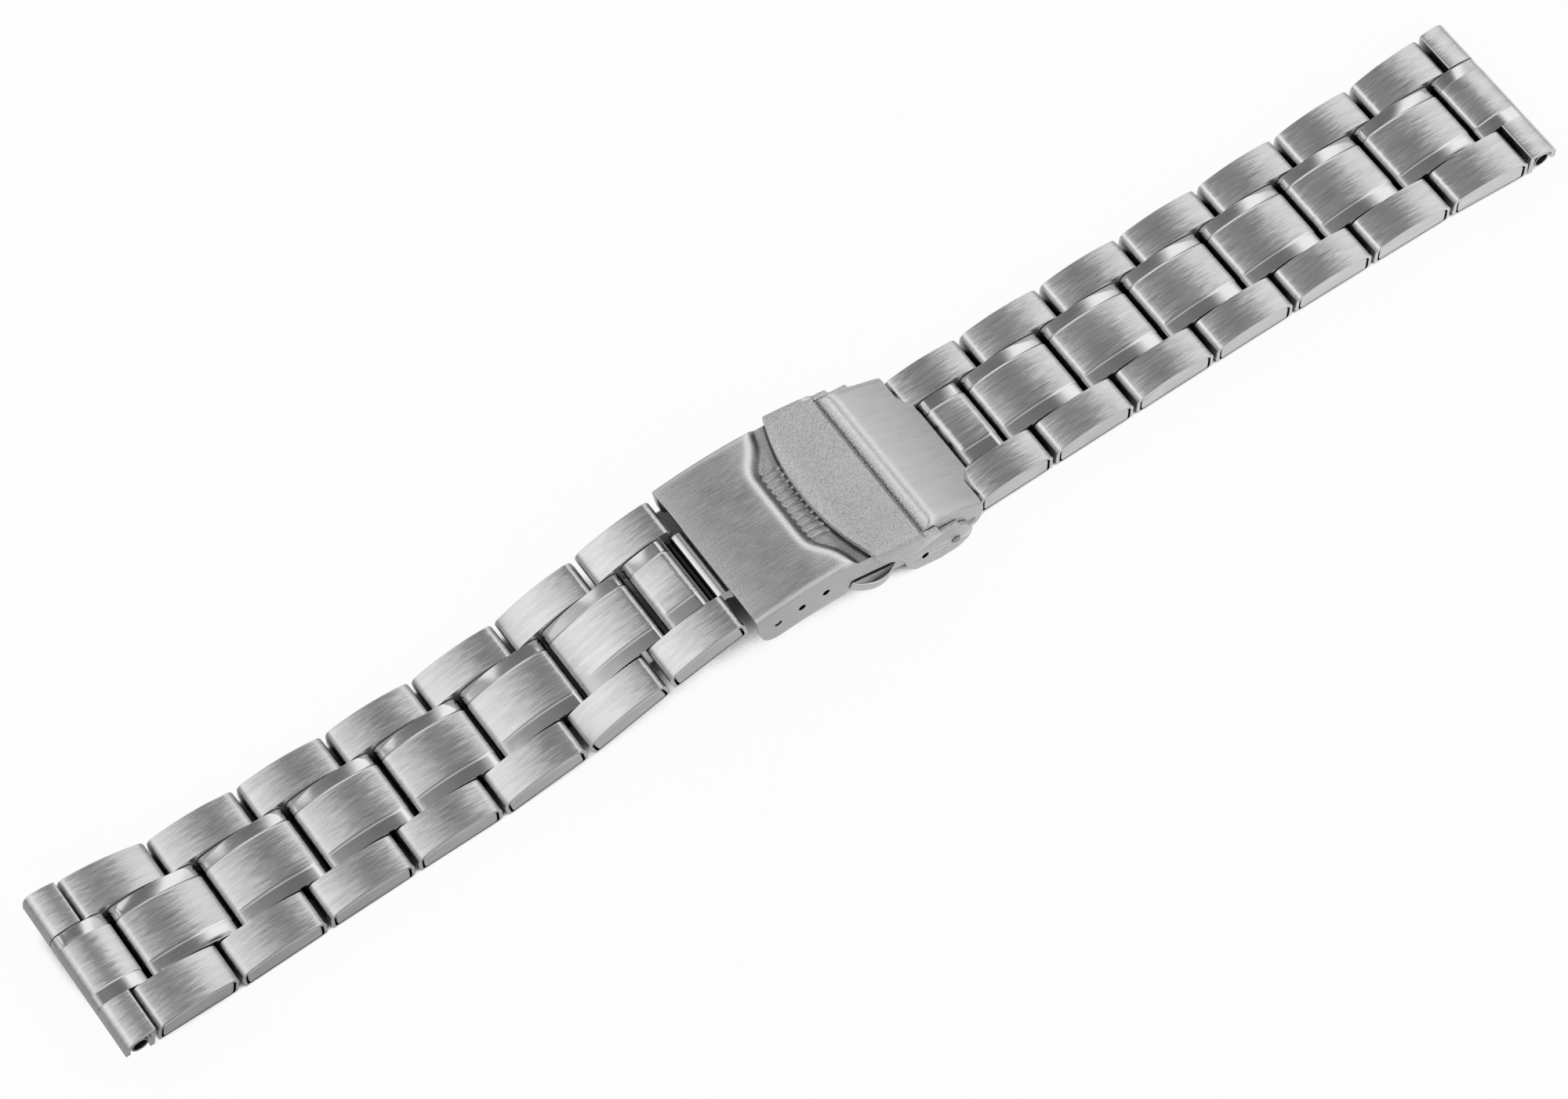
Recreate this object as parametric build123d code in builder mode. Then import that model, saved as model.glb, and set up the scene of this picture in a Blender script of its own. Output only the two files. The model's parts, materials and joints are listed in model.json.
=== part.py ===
from build123d import *
import math
import os

# Link watch bracelet with a fold-over clasp, laid out straight along X with the clasp in the middle.
# Rows are counted from 1 beside the lug end piece to 7 beside the clasp, in a left and a right half.
# Each row has its own plane: origin on the floor under its lug-side gap, x toward the clasp, y up.

# Driving dimensions of the bracelet
lug_width = 18.0
pitch = 9.6
first_pitch = 9.2
thickness = 3.54
row_count = 7

# Width over the outer links at each gap, from the lug end to the clasp, as shares of the lug width
gap_width_shares = (0.974, 0.911, 0.891, 0.877, 0.873, 0.873, 0.873, 0.873)

# Link profile
link_gap = 0.45
arch_radius = 17.5
foot_rounding = 1.2
top_rounding = 0.6
side_rounding = 0.8

# Outer links: a folded sleeve round a core
sleeve_wall = 0.38
seam_gap = 0.03
core_end_gap = 0.15

# Centre links
centre_width = 8.1
panel_width = 5.4
strip_step = 0.17
side_clearance = 0.08
centre_gap = 0.4
centre_gap_offset = 2.8
first_gap_offset = 2.35

# Hinge pins, each fixed in the outer links and running in the neighbour's centre link
hinge_x = 1.4
first_hinge_x = 1.15
hinge_y = 1.55
joining_pin_inset = 1.6
pin_radius = 0.55
press_clearance = 0.01
running_clearance = 0.04
pin_end_inset = 0.05
blind_pin_inset = 0.9
rows_with_open_pins = (5, 6, 7)

# Short centre links beside the clasp
short_centre_end = 7.55
roof_start = 6.3
roof_thickness = 0.78
last_link_end = 8.83
last_pin_x = 7.4
last_pin_y = 1.3
last_pin_radius = 0.5

# Tongue of the left half, which reaches the clasp's spring bar
tongue_width = 7.66
tongue_bar_x = 11.5
tongue_drop = 1.83
tongue_knee_x = 9.0
tongue_root_radius = 0.8
tongue_loop_radius = 1.15

# Lug end pieces
end_length = 3.3
end_side_clearance = 0.05
end_sheet = 0.5
end_arch_radius = 7.5
end_arch_x = -0.4
end_crown = 3.35
end_edge_rounding = 1.1
end_lip_height = 1.2
end_wall_height = 0.4
tube_x = -1.7
tube_y = 1.6
tube_radius = 0.92
tube_bore_radius = 0.7
tube_end_inset = 0.25

# Rest position: slope of each left row toward the clasp, in degrees; the rest lie flat
end_lift_slope = -9.5
row_6_slope = 17.5
row_7_slope = 13.0

# Clasp arc
arc_radius = 41.0
arc_x = -7.0
crown_height = 9.45
clasp_width = 17.2
cover_sheet = 0.75
cover_wall = 0.65
cover_left_reach = -5.493
cover_right_reach = 20.5
tongue_plate_reach = 21.544
tongue_plate_width = 8.0
cover_edge_rounding = 0.9
wall_depth = 5.6
wall_corner_rounding = 2.0
wall_floor_gap = 1.0
lug_radius = 1.15

# Recess pressed into the cover under the safety bar, on a plane that touches the arc
recess_reach = 9.223
recess_depth = 1.0
recess_nail_reach = 5.5
recess_bend_reach = 3.5
recess_side_reach = 2.3
recess_right_reach = 4.65
recess_nail_half = 4.3
recess_bend_half = 6.4
recess_taper = 30.0
recess_corner = 0.8
boss_clearance_share = 0.6
rib_reach = 6.414
rib_count = 11
rib_spacing = 0.8
rib_width = 0.3
rib_length = 1.7
rib_depth = 0.12

# Pivots of the clasp: depth under the arc and reach from its crown
cover_pivot_depth = 2.26
cover_pivot_reach = 20.22
blade_pivot_depth = 2.7
blade_pivot_reach = 4.712
bar_depth = 3.0
bar_reach = -3.359
hole_step = 2.931
hole_count = 3
bar_hole_radius = 0.4
safety_pivot_depth = 3.52
safety_pivot_reach = 18.435

# Blades
blade_thickness = 0.65
blade_width = 8.6
middle_blade_depth = 1.95
bottom_blade_depth = 2.8
cover_knuckle_radius = 0.85
cover_pin_radius = 0.5
blade_knuckle_radius = 0.8
blade_pin_radius = 0.4
knuckle_clearance = 0.15
knuckle_split = 4.2
knuckle_side_clearance = 0.1
bend_reach = 17.327
bend_foot_x = 11.9
blade_loop_radius = 0.95
blade_pin_x = 15.1
blade_foot_z = 0.35

# Latch box under the bottom blade with two push buttons
latch_x = 0.5
latch_z = 3.9
latch_slope = 17.0
button_width = 5.0
button_thickness = 1.1
button_crown = 9.7
button_shoulder = 8.75
button_inner = 7.1
shank_width = 2.6
head_width = 3.6
head_inner = 1.95
button_clearance = 0.1
latch_wall = 0.4
latch_seat = 1.45
notch_clearance = 0.25
notch_height = 0.85
notch_rounding = 0.4
latch_spring_radius = 0.4
latch_spring_wire = 0.12
latch_spring_length = 1.95
latch_spring_turns = 5

# Safety bar
safety_gap = 0.35
safety_sheet = 0.7
safety_arm = 0.57
safety_side_clearance = 0.08
safety_side_reach = 7.647
safety_middle_reach = 5.635
safety_right_reach = 12.602
safety_rounding = 0.75
safety_foot_gap = 0.02
arm_length_share = 0.964
arm_corner = 0.3
rivet_radius = 0.45
rivet_head_radius = 0.75
rivet_head_thickness = 0.12
rivet_collar = 0.3
spare_hole_radius = 0.4

# Outline of the arm round its pivot, as shares of the arm's length
arm_shares = (
    (-1.378, 0.965),
    (-1.326, 0.723),
    (-1.008, 0.450),
    (-0.902, 0.298),
    (-0.830, 0.010),
    (-0.700, -0.150),
    (-0.250, -0.2885),
    (0.053, -0.2885),
    (0.068, 0.397),
    (-0.235, 0.450),
    (-0.311, 0.609),
    (-0.538, 0.662),
    (-0.621, 0.768),
)
spare_hole_share = (-0.541, 0.098)

# Spring bar of the clasp
bar_tube_radius = 0.65
bar_tube_bore = 0.42
bar_tip_radius = 0.36
bar_end_clearance = 0.1
bar_tip_inner = 4.5
bar_tip_inset = 0.1
bar_spring_radius = 0.27
bar_spring_wire = 0.07
bar_spring_half = 3.3
bar_spring_turns = 8

# One overrun serves every through cut
overrun = 3.0

# Sizes that follow from those above
centre_half = centre_width / 2
panel_half = panel_width / 2
inner_face = centre_half + side_clearance
half_gap = link_gap / 2
clasp_half = clasp_width / 2
cover_inner_half = clasp_half - cover_wall
blade_half = blade_width / 2
tongue_half = tongue_width / 2
arc_z = crown_height - arc_radius
end_half = lug_width / 2 - end_side_clearance
through = lug_width


def on_arc(depth, reach):
    """Point at a depth under the clasp's arc, in the clasp's plane, under the arc's own point at a reach."""
    share = reach / arc_radius
    radius = arc_radius - depth
    return (arc_x + radius * share, arc_z + radius * math.sqrt(1 - share**2))


def row_axes(half, slope):
    """Directions of a row's x, which points to the clasp, and of its y, which points up."""
    turn = math.radians(slope)
    side = 1 if half == "left" else -1
    along = Vector(side * math.cos(turn), 0, math.sin(turn))
    up = Vector(-side * math.sin(turn), 0, math.cos(turn))
    return along, up


def row_plane(half, slope, point, local):
    """Plane of a row that has its own point local at the given point of the bracelet."""
    along, up = row_axes(half, slope)
    origin = Vector(point[0], 0, point[1]) - along * local[0] - up * local[1]
    return Plane(origin=origin, x_dir=along, z_dir=(0, -1 if half == "left" else 1, 0))


def in_bracelet(plane, local):
    """Point of the bracelet, as X and Z, where a row's plane has its point local."""
    spot = plane.from_local_coords(Vector(local[0], local[1], 0))
    return (spot.X, spot.Z)


def row_length(number):
    """Distance from a row's own gap to the next one."""
    return first_pitch if number == 1 else pitch


def row_hinge(number):
    """Hinge of a row to its neighbour on the lug side, in the row's own plane."""
    return (first_hinge_x if number == 1 else hinge_x, hinge_y)


def next_hinge(number):
    """Hinge of a row to its neighbour on the clasp side, in the row's own plane."""
    return (row_length(number) + hinge_x, hinge_y)


def lay_out(clasp_x):
    """Planes of all the rows, with the clasp's plane at clasp_x."""
    bar = on_arc(bar_depth, bar_reach)
    bar_local = (tongue_bar_x, hinge_y - tongue_drop)
    row_7 = row_plane("left", row_7_slope, (clasp_x + bar[0], bar[1]), bar_local)
    row_6 = row_plane("left", row_6_slope, in_bracelet(row_7, row_hinge(7)), next_hinge(6))
    climb = in_bracelet(row_6, row_hinge(6))[1] - hinge_y
    row_5_slope = math.degrees(math.asin(climb / pitch))
    slopes = {1: end_lift_slope, 2: 0, 3: 0, 4: 0, 5: row_5_slope, 6: row_6_slope, 7: row_7_slope}
    planes = {"left": {7: row_7, 6: row_6}, "right": {}}
    for number in range(5, 0, -1):
        nearer = planes["left"][number + 1]
        meeting = in_bracelet(nearer, row_hinge(number + 1))
        planes["left"][number] = row_plane("left", slopes[number], meeting, next_hinge(number))
    last_pin = (last_pin_x, last_pin_y)
    planes["right"][7] = row_plane("right", 0, (clasp_x + blade_pin_x, last_pin_y), last_pin)
    for number in range(6, 0, -1):
        meeting = in_bracelet(planes["right"][number + 1], row_hinge(number + 1))
        planes["right"][number] = row_plane("right", 0, meeting, next_hinge(number))
    return planes


# The clasp is placed so that the bracelet's two ends lie equally far from the origin
trial = lay_out(0)
left_reach = in_bracelet(trial["left"][1], (-end_length, end_lip_height))[0]
right_reach = in_bracelet(trial["right"][1], (-end_length, end_lip_height))[0]
clasp_middle = -(left_reach + right_reach) / 2
rows = lay_out(clasp_middle)

clasp_plane = Plane(origin=(clasp_middle, 0, 0), x_dir=(1, 0, 0), z_dir=(0, -1, 0))
cover_pivot = on_arc(cover_pivot_depth, cover_pivot_reach)
blade_pivot = on_arc(blade_pivot_depth, blade_pivot_reach)
bar_point = on_arc(bar_depth, bar_reach)
safety_pivot = on_arc(safety_pivot_depth, safety_pivot_reach)
blade_end = (blade_pin_x, last_pin_y)
strap_top = recess_depth - safety_gap - safety_sheet
arm_length = arm_length_share * (on_arc(strap_top, safety_side_reach)[1] - safety_pivot[1])

os.makedirs("parts", exist_ok=True)


def save(piece, name):
    """Label a finished piece and write it."""
    piece.part.label = name
    export_step(piece.part, f"parts/{name}.step")


def link_outline(plane, start, end, crown, inset=0.0, end_gap=0.0):
    """Side view of a link from start to end: flat foot, arched top and rounded corners."""
    left = start + inset + end_gap
    right = end - inset - end_gap
    middle = (start + end) / 2
    arch = arch_radius - inset
    shoulder = crown - arch_radius + math.sqrt(arch**2 - (right - middle) ** 2)
    with BuildSketch(plane) as outline:
        with BuildLine():
            Line((left, inset), (right, inset))
            Line((right, inset), (right, shoulder))
            ThreePointArc((right, shoulder), (middle, crown - inset), (left, shoulder))
            Line((left, shoulder), (left, inset))
        make_face()
        fillet(outline.vertices().group_by(Axis.Y)[0], radius=foot_rounding - inset)
        fillet(outline.vertices().group_by(Axis.Y)[-1], radius=top_rounding - inset)
    return outline.sketch


def disc(plane, centre, radius):
    """Round sketch at a point of a plane."""
    with BuildSketch(plane) as round_shape:
        with Locations(centre):
            Circle(radius)
    return round_shape.sketch


def row_half_width(number, x):
    """Half the width over a row's outer links at a place along the row."""
    lug_share, clasp_share = gap_width_shares[number - 1], gap_width_shares[number]
    share = lug_share + (clasp_share - lug_share) * x / row_length(number)
    return lug_width * share / 2


def side_sections(row, number, start, end):
    """Sections of a tapered bar on one side of a row, with its lower outer edge rounded."""
    sections = []
    for x in (start, end):
        half_width = row_half_width(number, x)
        origin = row.from_local_coords(Vector(x, 0, 0))
        section = Plane(origin=origin, x_dir=-row.z_dir, z_dir=row.x_dir)
        with BuildSketch(section) as outline:
            with BuildLine():
                Polyline(
                    (-inner_face, 0),
                    (-half_width, 0),
                    (-half_width, thickness),
                    (-inner_face, thickness),
                    close=True,
                )
            make_face()
            corner = outline.vertices().sort_by(Axis.Y)[0:2].sort_by(Axis.X)[0]
            fillet(corner, radius=side_rounding)
        sections.append(outline.sketch.face())
    return sections


def outer_ends(number):
    """Where a row's outer links start and end along the row."""
    if number == row_count:
        return half_gap, last_link_end
    return half_gap, row_length(number) - half_gap


def second_pin(number):
    """Second pin of a row: it joins the row's links, or takes the clasp in the last row."""
    if number == row_count:
        return (last_pin_x, last_pin_y), last_pin_radius
    return (row_length(number) - joining_pin_inset, hinge_y), pin_radius


def pin_reach(half, number, x):
    """Half the length of a pin, which shows at the sides only in the adjustable rows."""
    shows = half == "right" and number in rows_with_open_pins
    return row_half_width(number, x) - (pin_end_inset if shows else blind_pin_inset)


def make_outer_links(half, number):
    """Two folded sleeves of a row, each closed round a core that holds the pins."""
    row = rows[half][number]
    start, end = outer_ends(number)
    with BuildPart() as sleeves:
        loft(side_sections(row, number, start, end))
        whole = link_outline(row, start, end, thickness)
        extrude(whole, amount=through, both=True, mode=Mode.INTERSECT)
        inside = link_outline(row, start, end, thickness, sleeve_wall)
        extrude(inside, amount=through, both=True, mode=Mode.SUBTRACT)
        mirror(about=Plane.XZ)
    joining, joining_radius = second_pin(number)
    with BuildPart() as cores:
        loft(side_sections(row, number, start, end))
        core = link_outline(row, start, end, thickness, sleeve_wall + seam_gap, core_end_gap)
        extrude(core, amount=through, both=True, mode=Mode.INTERSECT)
        for centre, radius in ((row_hinge(number), pin_radius), (joining, joining_radius)):
            bore = disc(row, centre, radius + press_clearance)
            reach = pin_reach(half, number, centre[0]) + pin_end_inset
            extrude(bore, amount=reach, both=True, mode=Mode.SUBTRACT)
        mirror(about=Plane.XZ)
    with BuildPart() as outer_links:
        add(sleeves.part)
        add(cores.part)
    save(outer_links, f"{half}_row_{number}_outer_links")


def make_pins(half, number):
    """Hinge pin and joining pin of a row."""
    row = rows[half][number]
    joining, joining_radius = second_pin(number)
    with BuildPart() as pins:
        for centre, radius in ((row_hinge(number), pin_radius), (joining, joining_radius)):
            extrude(disc(row, centre, radius), amount=pin_reach(half, number, centre[0]), both=True)
    save(pins, f"{half}_row_{number}_pins")


def centre_body(row, start, end):
    """Centre link with a raised panel between two lower strips."""
    extrude(link_outline(row, start, end, thickness), amount=panel_half, both=True)
    extrude(link_outline(row, start, end, thickness - strip_step), amount=centre_half, both=True)


def centre_start(number):
    """Where a row's centre link starts along the row."""
    offset = first_gap_offset if number == 1 else centre_gap_offset
    return offset + centre_gap / 2


def make_centre_link(half, number):
    """Centre link that reaches past its row to the next row's hinge pin."""
    row = rows[half][number]
    end = row_length(number) + centre_gap_offset - centre_gap / 2
    with BuildPart() as centre_link:
        centre_body(row, centre_start(number), end)
        joining_bore = disc(row, second_pin(number)[0], pin_radius + press_clearance)
        extrude(joining_bore, amount=through, both=True, mode=Mode.SUBTRACT)
        hinge_bore = disc(row, next_hinge(number), pin_radius + running_clearance)
        extrude(hinge_bore, amount=through, both=True, mode=Mode.SUBTRACT)
    save(centre_link, f"{half}_row_{number}_centre_link")


def make_short_centre(half):
    """Short centre link beside the clasp, with a thin roof over the loop at the last pin."""
    row = rows[half][row_count]
    start = centre_start(row_count)
    roof_under = thickness - roof_thickness - strip_step
    with BuildPart() as short_centre:
        centre_body(row, start, short_centre_end)
        with BuildSketch(row):
            with Locations((roof_start, roof_under)):
                Rectangle(overrun, overrun + roof_under, align=(Align.MIN, Align.MAX))
        extrude(amount=through, both=True, mode=Mode.SUBTRACT)
    if half == "left":
        with BuildPart() as clasp_tongue:
            extrude(tongue_outline(row), amount=tongue_half, both=True)
            root_bore = disc(row, (last_pin_x, last_pin_y), last_pin_radius + press_clearance)
            extrude(root_bore, amount=through, both=True, mode=Mode.SUBTRACT)
            bar_local = (tongue_bar_x, hinge_y - tongue_drop)
            bar_bore = disc(row, bar_local, bar_tube_radius + running_clearance)
            extrude(bar_bore, amount=through, both=True, mode=Mode.SUBTRACT)
        with BuildPart() as pair:
            add(short_centre.part)
            add(clasp_tongue.part)
        short_centre = pair
    save(short_centre, f"{half}_row_{row_count}_centre_link")


def tongue_outline(row):
    """Side view of the bent tongue, a loop round the last pin and a loop round the spring bar."""
    bar = Vector(tongue_bar_x, hinge_y - tongue_drop)
    root = Vector(last_pin_x, last_pin_y)
    top = last_pin_y + tongue_root_radius
    fall = math.atan2(top - bar.Y - tongue_loop_radius, bar.X - tongue_knee_x)
    crest = bar + Vector(math.sin(fall), math.cos(fall)) * tongue_loop_radius
    hollow = bar - Vector(math.sin(fall), math.cos(fall)) * tongue_loop_radius
    with BuildSketch(row) as outline:
        with Locations(root):
            Circle(tongue_root_radius)
        with Locations(bar):
            Circle(tongue_loop_radius)
        with BuildLine():
            Polyline(
                (root.X, top),
                (tongue_knee_x, top),
                (crest.X, crest.Y),
                (hollow.X, hollow.Y),
                (tongue_knee_x, root.Y - tongue_root_radius),
                (root.X, root.Y - tongue_root_radius),
                close=True,
            )
        make_face()
    return outline.sketch


for half in ("left", "right"):
    for number in range(1, row_count + 1):
        make_outer_links(half, number)
        make_pins(half, number)
        if number < row_count:
            make_centre_link(half, number)
    make_short_centre(half)


def end_outline(plane, left, right, bottom, drop, has_nose=False):
    """Side view of an end piece: arched top that rounds down to the outer edge."""
    arch = end_arch_radius - drop
    arch_y = end_crown - end_arch_radius
    middle_x = (left + right) / 2
    left_y, middle_y, right_y = (
        arch_y + math.sqrt(arch**2 - (x - end_arch_x) ** 2) for x in (left, middle_x, right)
    )
    with BuildSketch(plane) as outline:
        with BuildLine():
            Line((left, bottom), (right, bottom))
            Line((right, bottom), (right, right_y))
            ThreePointArc((right, right_y), (middle_x, middle_y), (left, left_y))
            Line((left, left_y), (left, bottom))
        make_face()
        corner = outline.vertices().sort_by(Axis.X)[0:2].sort_by(Axis.Y)[-1]
        fillet(corner, radius=end_edge_rounding - drop)
        if has_nose:
            nose = outline.vertices().sort_by(Axis.X)[-2:].sort_by(Axis.Y)
            fillet(nose[0], radius=foot_rounding)
            fillet(outline.vertices().sort_by(Axis.X)[-2:].sort_by(Axis.Y)[-1], radius=top_rounding)
    return outline.sketch


def make_end_piece(half):
    """Folded lug end piece with a solid centre band that takes the first hinge pin."""
    row = rows[half][1]
    gap_half = row_half_width(1, 0)
    nose = first_gap_offset - centre_gap / 2
    with BuildPart() as end_piece:
        shell = end_outline(row, -end_length, -half_gap, end_wall_height, 0)
        extrude(shell, amount=end_half, both=True)
        hollow = end_outline(row, -end_length + end_sheet, -half_gap - end_sheet, -overrun, end_sheet)
        extrude(hollow, amount=through, both=True, mode=Mode.SUBTRACT)
        with BuildSketch(row):
            Rectangle(2 * end_length, 4 * end_crown)
        extrude(amount=centre_half, both=True, mode=Mode.SUBTRACT)
        extrude(end_outline(row, -end_length, nose, 0, 0, True), amount=panel_half, both=True)
        extrude(end_outline(row, -end_length, nose, 0, strip_step, True), amount=centre_half, both=True)
        with BuildSketch(row):
            with Locations((-end_length - overrun, end_lip_height)):
                Rectangle(overrun + end_sheet, overrun, align=(Align.MIN, Align.MAX))
        extrude(amount=through, both=True, mode=Mode.SUBTRACT)
        hinge_bore = disc(row, (first_hinge_x, hinge_y), pin_radius + running_clearance)
        extrude(hinge_bore, amount=through, both=True, mode=Mode.SUBTRACT)
        tube_bore = disc(row, (tube_x, tube_y), tube_radius + press_clearance)
        extrude(tube_bore, amount=through, both=True, mode=Mode.SUBTRACT)
        for side in (1, -1):
            outer = row.from_local_coords(Vector(-end_length, 0, side * end_half))
            inner = row.from_local_coords(Vector(-half_gap, 0, side * gap_half))
            along = inner - outer
            trim = Plane(origin=outer, x_dir=along, z_dir=along.cross(row.y_dir) * side)
            keep = Keep.BOTTOM if trim.to_local_coords(row.origin).Z < 0 else Keep.TOP
            split(bisect_by=trim, keep=keep)
    save(end_piece, f"{half}_end_piece")


def make_end_tube(half):
    """Tube under the end piece, which takes the spring bar between the lugs of a watch."""
    row = rows[half][1]
    with BuildPart() as end_tube:
        tube_half = end_half - tube_end_inset
        extrude(disc(row, (tube_x, tube_y), tube_radius), amount=tube_half, both=True)
        tube_bore = disc(row, (tube_x, tube_y), tube_bore_radius)
        extrude(tube_bore, amount=through, both=True, mode=Mode.SUBTRACT)
    save(end_tube, f"{half}_end_tube")


for half in ("left", "right"):
    make_end_piece(half)
    make_end_tube(half)


def arc_band(plane, shallow, deep, start, end):
    """Sketch of a band that follows the clasp's arc between two depths and two reaches."""
    with BuildSketch(plane) as band:
        with BuildLine():
            middle = (start + end) / 2
            ThreePointArc(on_arc(shallow, start), on_arc(shallow, middle), on_arc(shallow, end))
            Line(on_arc(shallow, end), on_arc(deep, end))
            ThreePointArc(on_arc(deep, end), on_arc(deep, middle), on_arc(deep, start))
            Line(on_arc(deep, start), on_arc(shallow, start))
        make_face()
    return band.sketch


def tangent_plane(reach, depth):
    """Plane that touches the arc at a reach and a depth, with x along the clasp and z outward."""
    spot = on_arc(depth, reach)
    turn = math.asin(reach / arc_radius)
    return Plane(
        origin=(clasp_middle + spot[0], 0, spot[1]),
        x_dir=(math.cos(turn), 0, -math.sin(turn)),
        z_dir=(math.sin(turn), 0, math.cos(turn)),
    )


def recess_shape(depth, growth):
    """Flared block that presses the recess to a depth under the arc."""
    far = clasp_half + overrun
    with BuildPart() as shape:
        with BuildSketch(tangent_plane(recess_reach, depth)) as plan:
            with BuildLine():
                Polyline(
                    (recess_right_reach + growth, -far),
                    (recess_right_reach + growth, far),
                    (-recess_side_reach - growth, far),
                    (-recess_bend_reach - growth, recess_bend_half + growth),
                    (-recess_nail_reach - growth, recess_nail_half + growth),
                    (-recess_nail_reach - growth, -recess_nail_half - growth),
                    (-recess_bend_reach - growth, -recess_bend_half - growth),
                    (-recess_side_reach - growth, -far),
                    close=True,
                )
            make_face()
            inner = plan.vertices().filter_by(lambda spot: abs(spot.Y) < clasp_half)
            fillet(inner, radius=recess_corner)
        extrude(amount=overrun, taper=-recess_taper)
        floor_disc = disc(clasp_plane, (arc_x, arc_z), arc_radius - depth)
        extrude(floor_disc, amount=through, both=True, mode=Mode.SUBTRACT)
    return shape.part


latch_turn = math.radians(latch_slope)
latch_side = Plane(
    origin=(clasp_middle + latch_x, 0, latch_z),
    x_dir=(math.cos(latch_turn), 0, -math.sin(latch_turn)),
    z_dir=(0, -1, 0),
)
latch_plan = Plane(
    origin=(clasp_middle + latch_x, 0, latch_z),
    x_dir=(math.cos(latch_turn), 0, -math.sin(latch_turn)),
    z_dir=(math.sin(latch_turn), 0, math.cos(latch_turn)),
)

# Inside of the cover, under its sheet and round the pressed recess
with BuildPart() as cover_inside:
    under_sheet = disc(clasp_plane, (arc_x, arc_z), arc_radius - cover_sheet)
    extrude(under_sheet, amount=cover_inner_half, both=True)
    add(
        recess_shape(recess_depth + cover_sheet, cover_sheet * boss_clearance_share),
        mode=Mode.SUBTRACT,
    )

# Cover of the clasp: a bent sheet with side walls, pressed in under the safety bar
with BuildPart() as clasp_cover:
    side_view = arc_band(clasp_plane, 0, wall_depth, cover_left_reach, cover_pivot_reach)
    extrude(side_view, amount=clasp_half, both=True)
    corner = clasp_cover.edges().filter_by(Axis.Y).sort_by(Axis.X)[0:2].sort_by(Axis.Z)[0]
    fillet(corner, radius=wall_corner_rounding)
    lug_edge = on_arc(0, cover_right_reach)
    with BuildSketch(clasp_plane):
        with BuildLine():
            Polyline(
                cover_pivot,
                (cover_pivot[0] + lug_radius, cover_pivot[1]),
                on_arc(cover_sheet, cover_right_reach),
                lug_edge,
                on_arc(0, cover_pivot_reach),
                close=True,
            )
        make_face()
        with Locations(cover_pivot):
            Circle(lug_radius)
    extrude(amount=clasp_half, both=True)
    top_edges = clasp_cover.edges().filter_by(GeomType.CIRCLE)
    top_edges = top_edges.filter_by(lambda edge: abs(edge.radius - arc_radius) < press_clearance)
    fillet(top_edges, radius=cover_edge_rounding)
    with BuildSketch(clasp_plane):
        with Locations((arc_x + arc_radius, wall_floor_gap)):
            Rectangle(arc_radius * 2, overrun * 2, align=(Align.CENTER, Align.MAX))
    extrude(amount=through, both=True, mode=Mode.SUBTRACT)
    add(recess_shape(recess_depth, 0), mode=Mode.SUBTRACT)
    add(cover_inside.part, mode=Mode.SUBTRACT)
    plate_start = cover_pivot_reach - hole_step
    tongue_plate = arc_band(clasp_plane, 0, cover_sheet, plate_start, tongue_plate_reach)
    extrude(tongue_plate, amount=tongue_plate_width / 2, both=True)
    with BuildSketch(latch_side) as notch:
        with Locations((0, notch_height)):
            Rectangle(
                button_width + 2 * notch_clearance,
                wall_depth + notch_height,
                align=(Align.CENTER, Align.MAX),
            )
        fillet(notch.vertices().group_by(Axis.Y)[-1], radius=notch_rounding)
    extrude(amount=through, both=True, mode=Mode.SUBTRACT)
    for step in range(hole_count):
        hole_point = on_arc(bar_depth, bar_reach + step * hole_step)
        bar_hole = disc(clasp_plane, hole_point, bar_hole_radius)
        extrude(bar_hole, amount=through, both=True, mode=Mode.SUBTRACT)
    pin_hole = disc(clasp_plane, cover_pivot, cover_pin_radius + press_clearance)
    extrude(pin_hole, amount=through, both=True, mode=Mode.SUBTRACT)
    rivet_hole = disc(clasp_plane, safety_pivot, rivet_radius + press_clearance)
    extrude(rivet_hole, amount=through, both=True, mode=Mode.SUBTRACT)
    with BuildSketch(tangent_plane(rib_reach, recess_depth + rib_depth)):
        with GridLocations(rib_length, rib_spacing, 1, rib_count):
            Rectangle(rib_length, rib_width)
    extrude(amount=recess_depth / 2, mode=Mode.SUBTRACT)
save(clasp_cover, "clasp_cover")

# Pins fixed in the cover: the pivot of the middle blade and the two rivets of the safety bar
safety_inner = clasp_half + safety_side_clearance
safety_outer = safety_inner + safety_arm
with BuildPart() as clasp_cover_pins:
    extrude(disc(clasp_plane, cover_pivot, cover_pin_radius), amount=clasp_half, both=True)
    collar_plane = clasp_plane.offset(cover_inner_half - rivet_collar)
    extrude(disc(collar_plane, safety_pivot, rivet_head_radius), amount=rivet_collar - press_clearance)
    rivet_length = rivet_collar + safety_outer + rivet_head_thickness - cover_inner_half
    extrude(disc(collar_plane, safety_pivot, rivet_radius), amount=rivet_length)
    mirror(about=Plane.XZ)
save(clasp_cover_pins, "clasp_cover_pins")

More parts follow.
